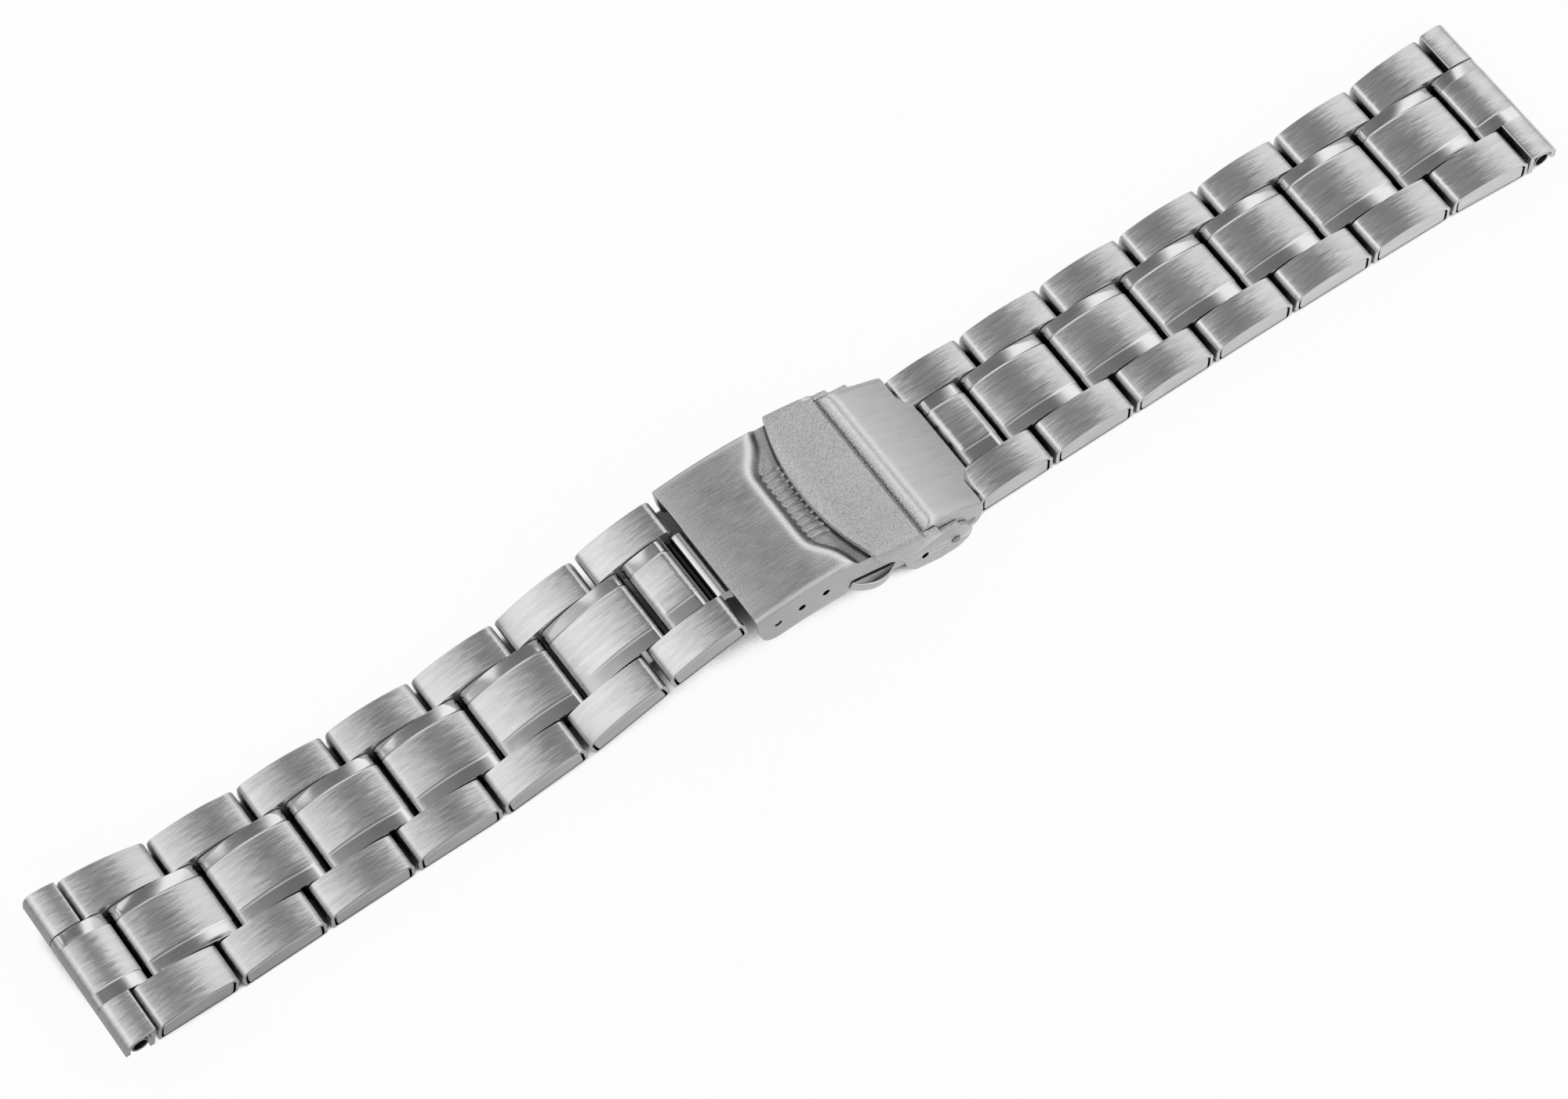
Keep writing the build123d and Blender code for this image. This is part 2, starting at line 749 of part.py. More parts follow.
# Safety bar: a strap over the cover, folded down at both sides into arms
with BuildPart() as safety_bar:
    strap = arc_band(clasp_plane, strap_top, recess_depth, safety_middle_reach, safety_right_reach)
    extrude(strap, amount=safety_outer, both=True)
    with BuildSketch(clasp_plane) as arm:
        with BuildLine():
            base = Vector(safety_pivot)
            Polyline([base + Vector(x, y) * arm_length for x, y in arm_shares], close=True)
        make_face()
        fillet(arm.vertices(), radius=arm_corner)
        with Locations(safety_pivot):
            Circle(safety_pivot[1] - safety_foot_gap)
    extrude(amount=safety_outer, both=True)
    strap_edges = safety_bar.edges().filter_by(GeomType.CIRCLE)
    strap_edges = strap_edges.filter_by(
        lambda edge: abs(edge.radius - arc_radius + strap_top) < press_clearance
    )
    fillet(strap_edges, radius=safety_rounding)
    strap_under = disc(clasp_plane, (arc_x, arc_z), arc_radius - recess_depth + safety_gap)
    extrude(strap_under, amount=safety_inner, both=True, mode=Mode.SUBTRACT)
    side_x = on_arc(strap_top, safety_side_reach)[0]
    middle_x = on_arc(strap_top, safety_middle_reach)[0]
    strap_plan = Plane(origin=(clasp_middle, 0, safety_pivot[1] + arm_length * arm_shares[1][1]))
    with BuildSketch(strap_plan):
        with BuildLine():
            ThreePointArc((side_x, -safety_outer), (middle_x, 0), (side_x, safety_outer))
            Polyline(
                (side_x, safety_outer),
                (side_x, safety_outer + overrun),
                (middle_x - overrun, safety_outer + overrun),
                (middle_x - overrun, -safety_outer - overrun),
                (side_x, -safety_outer - overrun),
                (side_x, -safety_outer),
            )
        make_face()
    extrude(amount=overrun * 2, mode=Mode.SUBTRACT)
    rivet_bore = disc(clasp_plane, safety_pivot, rivet_radius + running_clearance)
    extrude(rivet_bore, amount=through, both=True, mode=Mode.SUBTRACT)
    spare_x = safety_pivot[0] + spare_hole_share[0] * arm_length
    spare_z = safety_pivot[1] + spare_hole_share[1] * arm_length
    spare_hole = disc(clasp_plane, (spare_x, spare_z), spare_hole_radius)
    extrude(spare_hole, amount=through, both=True, mode=Mode.SUBTRACT)
save(safety_bar, "safety_bar")

# Middle blade, which turns in the cover and holds the bottom blade
knuckle_half = knuckle_split / 2
with BuildPart() as middle_blade:
    shallow, deep = middle_blade_depth, middle_blade_depth + blade_thickness
    blade_band = arc_band(clasp_plane, shallow, deep, blade_pivot_reach, cover_pivot_reach)
    extrude(blade_band, amount=blade_half, both=True)
    extrude(disc(clasp_plane, cover_pivot, cover_knuckle_radius), amount=blade_half, both=True)
    knuckle_room = blade_knuckle_radius + knuckle_clearance
    for side in (1, -1):
        room = disc(clasp_plane.offset(side * knuckle_half), blade_pivot, knuckle_room)
        extrude(room, amount=side * blade_half, mode=Mode.SUBTRACT)
    extrude(disc(clasp_plane, blade_pivot, blade_knuckle_radius), amount=knuckle_half, both=True)
    cover_bore = disc(clasp_plane, cover_pivot, cover_pin_radius + running_clearance)
    extrude(cover_bore, amount=through, both=True, mode=Mode.SUBTRACT)
    blade_bore = disc(clasp_plane, blade_pivot, blade_pin_radius + running_clearance)
    extrude(blade_bore, amount=through, both=True, mode=Mode.SUBTRACT)
save(middle_blade, "middle_blade")

# Bottom blade with the latch box under it and a loop for the right half at its end
box_floor = button_thickness / 2 + button_clearance
box_half = head_width / 2 + button_clearance + latch_wall
with BuildPart() as bottom_blade:
    shallow, deep = bottom_blade_depth, bottom_blade_depth + blade_thickness
    middle_depth = bottom_blade_depth + blade_thickness / 2
    blade_band = arc_band(clasp_plane, shallow, deep, blade_pivot_reach, bend_reach)
    extrude(blade_band, amount=blade_half, both=True)
    bend_start = on_arc(middle_depth, bend_reach)
    bend_foot = (bend_foot_x, blade_foot_z + blade_thickness / 2)
    blade_run = (blade_pin_x, bend_foot[1])
    with BuildSketch(clasp_plane):
        with BuildLine():
            Polyline(bend_start, bend_foot)
            offset(amount=blade_thickness / 2)
        make_face()
    extrude(amount=blade_half, both=True)
    with BuildSketch(clasp_plane):
        with BuildLine():
            Polyline(bend_foot, blade_run)
            offset(amount=blade_thickness / 2)
        make_face()
        with Locations(blade_end):
            Circle(blade_loop_radius)
    extrude(amount=tongue_half, both=True)
    with BuildSketch(latch_side):
        with Locations((0, -box_floor - latch_wall)):
            box_height = box_floor + latch_wall + latch_seat
            Rectangle(2 * box_half, box_height, align=(Align.CENTER, Align.MIN))
    extrude(amount=blade_half, both=True)
    with BuildSketch(latch_side):
        Rectangle(head_width + 2 * button_clearance, 2 * box_floor)
    extrude(amount=blade_half - latch_wall, both=True, mode=Mode.SUBTRACT)
    with BuildSketch(latch_side):
        Rectangle(shank_width + 2 * button_clearance, 2 * box_floor)
    extrude(amount=through, both=True, mode=Mode.SUBTRACT)
    extrude(disc(clasp_plane, blade_pivot, blade_knuckle_radius), amount=blade_half, both=True)
    inner_knuckle = knuckle_half + knuckle_side_clearance
    room = disc(clasp_plane, blade_pivot, knuckle_room)
    extrude(room, amount=inner_knuckle, both=True, mode=Mode.SUBTRACT)
    pin_bore = disc(clasp_plane, blade_pivot, blade_pin_radius + press_clearance)
    extrude(pin_bore, amount=through, both=True, mode=Mode.SUBTRACT)
    end_bore = disc(clasp_plane, blade_end, last_pin_radius + running_clearance)
    extrude(end_bore, amount=through, both=True, mode=Mode.SUBTRACT)
save(bottom_blade, "bottom_blade")

# Pin between the two blades
with BuildPart() as blade_pin:
    extrude(disc(clasp_plane, blade_pivot, blade_pin_radius), amount=blade_half, both=True)
save(blade_pin, "blade_pin")

# Push buttons: half-round plates whose heads sit in the latch box
for name, side in (("near", -1), ("far", 1)):
    with BuildPart() as push_button:
        with BuildSketch(latch_plan):
            with BuildLine():
                ThreePointArc(
                    (-button_width / 2, side * button_shoulder),
                    (0, side * button_crown),
                    (button_width / 2, side * button_shoulder),
                )
                Polyline(
                    (button_width / 2, side * button_shoulder),
                    (button_width / 2, side * button_inner),
                    (-button_width / 2, side * button_inner),
                    (-button_width / 2, side * button_shoulder),
                )
            make_face()
            head_outer = blade_half - latch_wall - button_clearance
            with Locations((0, side * (head_inner + button_inner) / 2)):
                Rectangle(shank_width, button_inner - head_inner)
            with Locations((0, side * (head_inner + head_outer) / 2)):
                Rectangle(head_width, head_outer - head_inner)
        extrude(amount=button_thickness / 2, both=True)
    save(push_button, f"push_button_{name}")


def coil(centre, radius, wire, half_length, turns):
    """Compression spring across the bracelet, centred at a point of the clasp's plane."""
    middle = clasp_plane.from_local_coords(Vector(centre[0], centre[1], 0))
    with BuildPart() as spring:
        with BuildLine() as path:
            Helix(
                pitch=2 * half_length / turns,
                height=2 * half_length,
                radius=radius,
                center=(middle.X, -half_length, middle.Z),
                direction=(0, 1, 0),
            )
        with BuildSketch(Plane(origin=path.line @ 0, z_dir=path.line % 0)):
            Circle(wire)
        sweep(path=path.line, is_frenet=True)
    return spring


button_spring = coil(
    (latch_x, latch_z),
    latch_spring_radius,
    latch_spring_wire,
    latch_spring_length / 2,
    latch_spring_turns,
)
save(button_spring, "button_spring")

# Spring bar that joins the left half to the cover
with BuildPart() as clasp_bar_tube:
    bar_half = cover_inner_half - bar_end_clearance
    extrude(disc(clasp_plane, bar_point, bar_tube_radius), amount=bar_half, both=True)
    tip_bore = disc(clasp_plane, bar_point, bar_tube_bore)
    extrude(tip_bore, amount=through, both=True, mode=Mode.SUBTRACT)
save(clasp_bar_tube, "clasp_bar_tube")

for name, side in (("near", 1), ("far", -1)):
    with BuildPart() as clasp_bar_tip:
        tip_length = clasp_half - bar_tip_inset - bar_tip_inner
        tip = disc(clasp_plane.offset(side * bar_tip_inner), bar_point, bar_tip_radius)
        extrude(tip, amount=side * tip_length)
    save(clasp_bar_tip, f"clasp_bar_tip_{name}")

bar_spring = coil(bar_point, bar_spring_radius, bar_spring_wire, bar_spring_half, bar_spring_turns)
save(bar_spring, "clasp_bar_spring")
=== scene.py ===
import json
import math

import bmesh
import bpy
from mathutils import Matrix, Vector


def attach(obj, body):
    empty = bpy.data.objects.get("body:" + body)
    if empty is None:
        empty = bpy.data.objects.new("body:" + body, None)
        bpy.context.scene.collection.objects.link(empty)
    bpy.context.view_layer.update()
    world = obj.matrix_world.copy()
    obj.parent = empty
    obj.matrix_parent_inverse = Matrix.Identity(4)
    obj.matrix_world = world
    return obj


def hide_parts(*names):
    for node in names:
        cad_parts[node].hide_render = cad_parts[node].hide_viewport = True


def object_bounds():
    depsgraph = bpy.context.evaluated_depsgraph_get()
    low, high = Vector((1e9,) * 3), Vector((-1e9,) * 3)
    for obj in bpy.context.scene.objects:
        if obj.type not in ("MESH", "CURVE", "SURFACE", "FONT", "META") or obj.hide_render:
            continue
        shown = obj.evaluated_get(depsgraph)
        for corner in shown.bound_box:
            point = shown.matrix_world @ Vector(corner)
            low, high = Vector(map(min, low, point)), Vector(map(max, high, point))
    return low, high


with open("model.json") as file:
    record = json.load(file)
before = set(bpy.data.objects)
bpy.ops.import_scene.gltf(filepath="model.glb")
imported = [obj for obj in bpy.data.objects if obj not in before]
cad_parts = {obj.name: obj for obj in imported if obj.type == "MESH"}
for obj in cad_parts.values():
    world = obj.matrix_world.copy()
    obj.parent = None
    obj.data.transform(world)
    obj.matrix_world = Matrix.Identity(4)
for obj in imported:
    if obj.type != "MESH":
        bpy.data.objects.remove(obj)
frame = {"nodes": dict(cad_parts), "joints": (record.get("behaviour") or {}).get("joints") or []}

cad_low, cad_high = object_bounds()

# Studio floor: a wide sheet of pale paper, on which the bracelet lies as a spare part does in a shop.
# Its colour is white where it lies open and painted dark as shade close under the links, and the glow that
# the steel mirrors is painted dark there too, and brighter toward the right and near the bracelet.
floor_half_side = 4.0
floor_clearance = 0.00002
open_paper, shaded_paper = 0.86, 0.12
shade_reach = 0.015
# Each row of four holds two places in metres, or two shares of open sky, and the value at each of them.
shift_across = (-0.0098, 0.0098, -0.16, 0.14)
open_range = (0.36, 0.5, 0.0, 0.95)
mirrored_along = (-0.07, 0.06, 0.45, 1.0)
mirrored_aside = (0.018, 0.07, 1.0, 0.22)
# The floor in the gap at the cover's left edge gets painted shade: middle, full and outer distance on two
# axes.
gap_along, gap_across, gap_shade = (-0.013, 0.0028, 0.0036), (0.006, 0.004, 0.0046), 0.7


def grey(level):
    """Opaque colour with the same level of red, green and blue."""
    return (level, level, level, 1)


def feed(tree, value, socket):
    """Gives a socket its value, which is another node's output or a plain number or colour."""
    if isinstance(value, bpy.types.NodeSocket):
        tree.links.new(value, socket)
    else:
        socket.default_value = value


def compute(tree, operation, *values, kind="ShaderNodeMath"):
    """Output of a Math node, or of a Vector Math node."""
    node = tree.nodes.new(kind)
    node.operation = operation
    for value, socket in zip(values, node.inputs):
        feed(tree, value, socket)
    return node.outputs[0]


def ranged(tree, value, start, stop, low, high, smooth=False):
    """Output that goes from low to high while a value goes from start to stop, and is level beyond."""
    node = tree.nodes.new("ShaderNodeMapRange")
    node.interpolation_type = "SMOOTHSTEP" if smooth else "LINEAR"
    for name, number in (("From Min", start), ("From Max", stop), ("To Min", low), ("To Max", high)):
        node.inputs[name].default_value = number
    feed(tree, value, node.inputs["Value"])
    return node.outputs["Result"]


def mixed(tree, kind, factor, first, second, blending="MIX"):
    """Output of a Mix node for two numbers (FLOAT) or two colours (RGBA)."""
    node = tree.nodes.new("ShaderNodeMix")
    node.data_type = kind
    node.blend_type = blending
    for name, value in (("Factor", factor), ("A", first), ("B", second)):
        feed(tree, value, node.inputs[name])
    return node.outputs["Result"]


def shade_by(tree, factor, first, second, output):
    """Mixes two shader nodes by a factor and links them to the output node."""
    blend = tree.nodes.new("ShaderNodeMixShader")
    for value, socket in zip((factor, first.outputs[0], second.outputs[0]), blend.inputs):
        feed(tree, value, socket)
    feed(tree, blend.outputs[0], tree.nodes[output].inputs["Surface"])


def gap_side(place, middle, full, outer):
    """Painted shade of the floor in the gap along one axis, full near its middle and none past its outer
    distance.
    """
    distance = compute(tree, "ABSOLUTE", compute(tree, "SUBTRACT", place, middle))
    return ranged(tree, distance, full, outer, gap_shade, 0.0, smooth=True)


floor_mesh = bpy.data.meshes.new("floor")
bm = bmesh.new()
bmesh.ops.create_grid(bm, x_segments=1, y_segments=1, size=floor_half_side)
bmesh.ops.translate(bm, verts=bm.verts, vec=(0, 0, cad_low[2] - floor_clearance))
bm.to_mesh(floor_mesh)
bm.free()
floor = bpy.data.objects.new("floor", floor_mesh)
bpy.context.scene.collection.objects.link(floor)
paper = bpy.data.materials.new("paper")
paper.use_nodes = True
floor_mesh.materials.append(paper)
tree = paper.node_tree
matt = tree.nodes["Principled BSDF"]
matt.inputs["Roughness"].default_value = 0.9
matt.inputs["Specular IOR Level"].default_value = 0.1
glow = tree.nodes.new("ShaderNodeEmission")
ray = tree.nodes.new("ShaderNodeLightPath")
place = tree.nodes.new("ShaderNodeSeparateXYZ")
feed(tree, tree.nodes.new("ShaderNodeNewGeometry").outputs["Position"], place.inputs[0])
toward_right, toward_back = place.outputs["X"], place.outputs["Y"]

sky = tree.nodes.new("ShaderNodeAmbientOcclusion")
sky.samples = 16
sky.inputs["Distance"].default_value = shade_reach
# Painted shade: the paper's colour and glow go dark where little sky is open and in a patch under the gap.
lit = compute(tree, "SUBTRACT", sky.outputs["AO"], ranged(tree, toward_back, *shift_across))
gap = compute(tree, "MULTIPLY", gap_side(toward_right, *gap_along), gap_side(toward_back, *gap_across))
openness = ranged(tree, compute(tree, "SUBTRACT", lit, gap), *open_range, smooth=True)
aside = ranged(tree, compute(tree, "ABSOLUTE", toward_back), *mirrored_aside, smooth=True)
mirrored_level = compute(tree, "MULTIPLY", ranged(tree, toward_right, *mirrored_along), aside)
mirrored_level = compute(tree, "MULTIPLY", mirrored_level, openness)
feed(tree, mixed(tree, "RGBA", openness, grey(shaded_paper), grey(open_paper)), matt.inputs["Base Color"])
feed(tree, mixed(tree, "FLOAT", ray.outputs["Is Camera Ray"], mirrored_level, 1.0), glow.inputs["Strength"])
seen = compute(tree, "MULTIPLY", openness, ray.outputs["Is Camera Ray"])
shade_by(tree, compute(tree, "MAXIMUM", seen, ray.outputs["Is Glossy Ray"]), matt, glow, "Material Output")

# Studio light: two tall soft walls of light at the left and the right of a darker strip overhead, and
# a light screen in front and one behind. A world that depends only on direction stands for them, with
# one large soft lamp for the shadows.
# Each stop is an angle in degrees from straight up toward the bracelet's right end, and its light.
left_wall = (
    (-90, 0.4), (-70, 0.6), (-55, 0.95), (-42, 1.0), (-33, 0.74), (-24, 0.58), (-13, 0.42), (0, 0.31),
)
right_wall = ((16, 0.23), (27, 0.23), (32, 0.7), (36, 1.4), (47, 1.4), (56, 1.0), (70, 0.8), (90, 0.4))
darkened_wall = ((16, 0.26), (34, 0.28), (36.5, 0.04), (43, 0.04), (45, 0.8), (60, 0.8), (90, 0.4))
# Each row of four holds two distances toward the back, on a ball round the bracelet, and the share there.
darkened_from, darkened_to = (0.24, 0.28, 0.0, 1.0), (0.37, 0.42, 1.0, 0.0)
front_screen, back_screen, screen_light = (-0.8, -0.5, 1.0, 0.0), (0.8, 0.92, 0.0, 1.0), 1.05
lamp_place, lamp_length, lamp_depth, lamp_power = (-0.22, 0.28, 0.55), 0.5, 0.35, 0.5

world = bpy.data.worlds.new("studio")
bpy.context.scene.world = world
world.use_nodes = True
tree = world.node_tree
room_light = tree.nodes["Background"]
white = tree.nodes.new("ShaderNodeBackground")
white.inputs["Color"].default_value = grey(1.0)
direction = tree.nodes.new("ShaderNodeSeparateXYZ")
feed(tree, tree.nodes.new("ShaderNodeTexCoord").outputs["Generated"], direction.inputs[0])
toward_back = direction.outputs["Y"]
lean = compute(tree, "ARCTAN2", direction.outputs["X"], direction.outputs["Z"])
spread = ranged(tree, lean, math.radians(-90), math.radians(90), 0.0, 1.0)


def wall_of_light(stops):
    """Brightness of the studio by the angle from straight up toward the right end of the bracelet."""
    walls = tree.nodes.new("ShaderNodeValToRGB")
    feed(tree, spread, walls.inputs["Fac"])
    ramp = walls.color_ramp
    while len(ramp.elements) < len(stops):
        ramp.elements.new(0.5)
    for element, (angle, level) in zip(ramp.elements, stops):
        element.position = (angle + 90) / 180
        element.color = grey(level)
    ramp.interpolation = "EASE"
    return walls.outputs["Color"]


def both(operation, first, second):
    """Share given by two changes with the distance toward the back, joined by an operation."""
    shares = [ranged(tree, toward_back, *change, smooth=True) for change in (first, second)]
    return compute(tree, operation, *shares)


walls = mixed(
    tree, "RGBA", both("MULTIPLY", darkened_from, darkened_to),
    wall_of_light(left_wall + right_wall), wall_of_light(left_wall + darkened_wall),
)
room = mixed(tree, "RGBA", both("MAXIMUM", front_screen, back_screen), walls, grey(screen_light))
feed(tree, room, room_light.inputs["Color"])
ray = tree.nodes.new("ShaderNodeLightPath")
shade_by(tree, ray.outputs["Is Camera Ray"], room_light, white, "World Output")

lamp = bpy.data.lights.new("soft_lamp", "AREA")
lamp.shape = "RECTANGLE"
lamp.size, lamp.size_y = lamp_length, lamp_depth
lamp.energy = lamp_power
lamp_object = bpy.data.objects.new("soft_lamp", lamp)
lamp_object.location = lamp_place
lamp_object.rotation_euler = (-Vector(lamp_place)).to_track_quat("-Z", "Y").to_euler()
bpy.context.scene.collection.objects.link(lamp_object)
bpy.context.scene.view_settings.view_transform = "Standard"

# Camera: where the photographer stood, found from the gap corners of the links in the photo.
# It looks down steeply across the bracelet, so the left end is lower left and the right end upper right.
camera_right = Vector((0.816286, -0.577535, -0.011455))
camera_down = Vector((-0.516855, -0.721378, -0.46095))
camera_forward = Vector((0.257951, 0.382188, -0.887352))
camera_place = Vector((-0.123986, -0.177498, 0.41235))
focal_pixels, photo_width, sensor_width = 6266.19, 2000, 36.0
camera = bpy.data.cameras.new("camera")
camera.sensor_width = sensor_width
camera.sensor_fit = "HORIZONTAL"
camera.lens = focal_pixels * sensor_width / photo_width
camera.clip_start = 0.01
camera.clip_end = 20
camera_object = bpy.data.objects.new("camera", camera)
turn = Matrix((camera_right, -camera_down, -camera_forward)).transposed().to_4x4()
camera_object.matrix_world = Matrix.Translation(camera_place) @ turn
bpy.context.scene.collection.objects.link(camera_object)
bpy.context.scene.camera = camera_object

# Outer links: a folded steel sleeve with a steel core, brushed along the bracelet, two in each row.
# The rim of the sleeve shows round the core at the side, with a gap at the core's two ends painted near
# black as shade.
# Each is pressed on the pins of its row, and the width of the rows falls from the lugs to the clasp.
MM = 0.001
thickness, arch_radius, foot_radius, top_radius = 3.54, 17.5, 1.2, 0.85
row_count = 7
lug_width = 18.0
width_shares = (0.974, 0.911, 0.891, 0.877, 0.873, 0.873, 0.873, 0.873)
pitches = {number: 9.2 if number == 1 else 9.6 for number in range(1, row_count + 1)}
link_gap, first_start, last_end = 0.225, 0.15, 8.83
inner_face, side_round = 4.13, 0.8
# Places of the hinges in a row's own frame, and of the clasp's spring bar and the right half's last hinge.
hinge_x, first_hinge_x, hinge_z = 1.4, 1.15, 1.55
bar_place, root_place = (11.5, -0.28), (7.4, 1.3)
pattern_starts = {"left": 0, "right": 10}
pivots = {joint["name"]: Vector(joint["pos_m"]) / MM for joint in frame["joints"] if joint.get("pos_m")}
# Sections across a link: distance from its inner or its outer face, inset of the outline, further inset
# of the two ends, and slot of the skin up to there (0 brushed, 1 plainer side, 2 painted shade in the gap).
link_sections = (
    (0.0, None, 0.07, 0.0, 0), (0.02, None, 0.02, 0.0, 0), (0.07, None, 0.0, 0.0, 0),
    (None, 0.8, 0.0, 0.0, 0), (None, 0.6, 0.0, 0.0, 0), (None, 0.42, 0.0, 0.0, 0),
    (None, 0.26, 0.0, 0.0, 0), (None, 0.14, 0.0, 0.0, 0), (None, 0.06, 0.0, 0.0, 0),
    (None, 0.02, 0.015, 0.0, 1), (None, 0.0, 0.06, 0.0, 1), (None, 0.0, 0.35, 0.0, 1),
    (None, 0.03, 0.38, 0.0, 2), (None, 0.3, 0.38, 0.0, 2), (None, 0.3, 0.48, 0.12, 2),
    (None, 0.06, 0.48, 0.12, 1), (None, 0.03, 0.51, 0.12, 1),
)


def row_frame(half, number):
    """Origin, direction to the clasp and direction up of a row, found from its two hinges."""
    child = f"{half}_row_{number - 1}" if number > 1 else f"{half}_end_piece"
    own = pivots[f"{child}_pivot"]
    own_local = Vector((first_hinge_x if number == 1 else hinge_x, 0, hinge_z))
    if number < row_count:
        other = pivots[f"{half}_row_{number}_pivot"]
        other_x, other_z = pitches[number] + hinge_x, hinge_z
    else:
        other = pivots[f"{half}_half_pivot"]
        other_x, other_z = bar_place if half == "left" else root_place
    side = 1 if half == "left" else -1
    step, local = other - own, Vector((other_x, 0, other_z)) - own_local
    slope = math.atan2(step.z, side * step.x) - math.atan2(local.z, local.x)
    along = Vector((side * math.cos(slope), 0, math.sin(slope)))
    up = Vector((-side * math.sin(slope), 0, math.cos(slope)))
    return own - along * own_local.x - up * own_local.z, along, up


def half_width(number, x):
    """Half the width over a row's outer links at a place along the row."""
    near, far = width_shares[number - 1], width_shares[number]
    return lug_width * (near + (far - near) * x / pitches[number]) / 2


def around(centre, radius, begin, stop, steps):
    """Points of a circle round a centre, from one angle to another in degrees."""
    points = []
    for step in range(steps + 1):
        angle = math.radians(begin + (stop - begin) * step / steps)
        points.append((centre[0] + radius * math.cos(angle), centre[1] + radius * math.sin(angle)))
    return points


def profile(start, end, crown, inset=0.0, end_gap=0.0):
    """Side view of a link, as a ring of points with the same count for every inset."""
    left, right = start + inset + end_gap, end - inset - end_gap
    middle = (start + end) / 2
    arch, foot, top = arch_radius - inset, foot_radius - inset, top_radius - inset
    centre_z = crown - arch_radius
    top_x = right - top
    top_z = centre_z + math.sqrt((arch - top) ** 2 - (top_x - middle) ** 2)
    reach = math.degrees(math.atan2(top_z - centre_z, top_x - middle))
    points = []
    for share in (0.0, 0.25, 0.5, 0.75):
        points.append((left + foot + (right - left - 2 * foot) * share, inset))
    points += around((right - foot, inset + foot), foot, -90, 0, 7)
    points += around((top_x, top_z), top, 0, reach, 5)
    points += around((middle, centre_z), arch, reach, 180 - reach, 20)[1:-1]
    points += around((left + top, top_z), top, 180 - reach, 180, 5)
    points += around((left + foot, inset + foot), foot, 180, 270, 7)[:-1]
    return points


def loft(bm, rings, slots=None):
    """Skin over rings of points (x, y, z), with its own UV along the brushing. Returns the two caps."""
    count = len(rings[0])
    made = bmesh.ops.create_grid(bm, x_segments=count, y_segments=len(rings) - 1, size=1.0)["verts"]
    uv = bm.loops.layers.uv.verify()
    lengths = [0.0]
    middle_ring = [Vector(point) for point in rings[len(rings) // 2]]
    for step in range(1, count + 1):
        lengths.append(lengths[-1] + (middle_ring[step % count] - middle_ring[step - 1]).length)
    across = [0.0]
    for ring, before in zip(rings[1:], rings):
        longest = max((Vector(a) - Vector(b)).length for a, b in zip(ring, before))
        across.append(across[-1] + longest)
    place = {}
    faces = set()
    for vert in made:
        column = round((vert.co.x + 1) / 2 * count)
        row = round((vert.co.y + 1) / 2 * (len(rings) - 1))
        place[vert] = (column, row)
        faces.update(vert.link_faces)
    for face in faces:
        row = min(place[vert][1] for vert in face.verts)
        face.material_index = slots[row] if slots else 0
        for loop in face.loops:
            column, ring = place[loop.vert]
            loop[uv].uv = (lengths[column], across[ring])
    for vert, (column, row) in place.items():
        vert.co = Vector(rings[row][column % count])
    bmesh.ops.remove_doubles(bm, verts=made, dist=1e-6)
    alive = [vert for vert in made if vert.is_valid]
    edges = {edge for vert in alive for edge in vert.link_edges if edge.is_boundary}
    caps = bmesh.ops.holes_fill(bm, edges=list(edges), sides=0)["faces"]
    cap_shift = 40
    for face in caps:
        face.material_index = slots[0] if slots else 0
        for loop in face.loops:
            loop[uv].uv = (loop.vert.co.x, loop.vert.co.z + cap_shift)
    return caps


def mirrored(bm):
    """Adds the same again on the other side of the bracelet's middle plane."""
    geometry = bm.verts[:] + bm.edges[:] + bm.faces[:]
    copy = bmesh.ops.duplicate(bm, geom=geometry)["geom"]
    verts = [item for item in copy if isinstance(item, bmesh.types.BMVert)]
    faces = [item for item in copy if isinstance(item, bmesh.types.BMFace)]
    bmesh.ops.scale(bm, vec=(1, -1, 1), verts=verts)
    bmesh.ops.reverse_faces(bm, faces=faces)


def finish_piece(bm, name, body, materials, seed, sharp=38, basis=None):
    """Turns a mesh in millimetres into a piece at its place that rides on its body."""
    uv = bm.loops.layers.uv.verify()
    shift_u, shift_v = 31.7 * seed, 17.3 * seed
    for face in bm.faces:
        for loop in face.loops:
            loop[uv].uv = (loop[uv].uv[0] + shift_u, loop[uv].uv[1] + shift_v)
    if basis:
        origin, along, up = basis
        for vert in bm.verts:
            vert.co = origin + along * vert.co.x + Vector((0, vert.co.y, 0)) + up * vert.co.z
    bmesh.ops.scale(bm, vec=(MM, MM, MM), verts=bm.verts)
    bmesh.ops.recalc_face_normals(bm, faces=bm.faces)
    mesh = bpy.data.meshes.new(name)
    bm.to_mesh(mesh)
    bm.free()
    mesh.shade_smooth()
    mesh.set_sharp_from_angle(angle=math.radians(sharp))
    for material in materials:
        mesh.materials.append(material)
    piece = bpy.data.objects.new(name, mesh)
    bpy.context.scene.collection.objects.link(piece)
    normals = piece.modifiers.new("even_normals", "WEIGHTED_NORMAL")
    normals.keep_sharp = True
    normals.weight = 60
    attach(piece, body)
    return piece


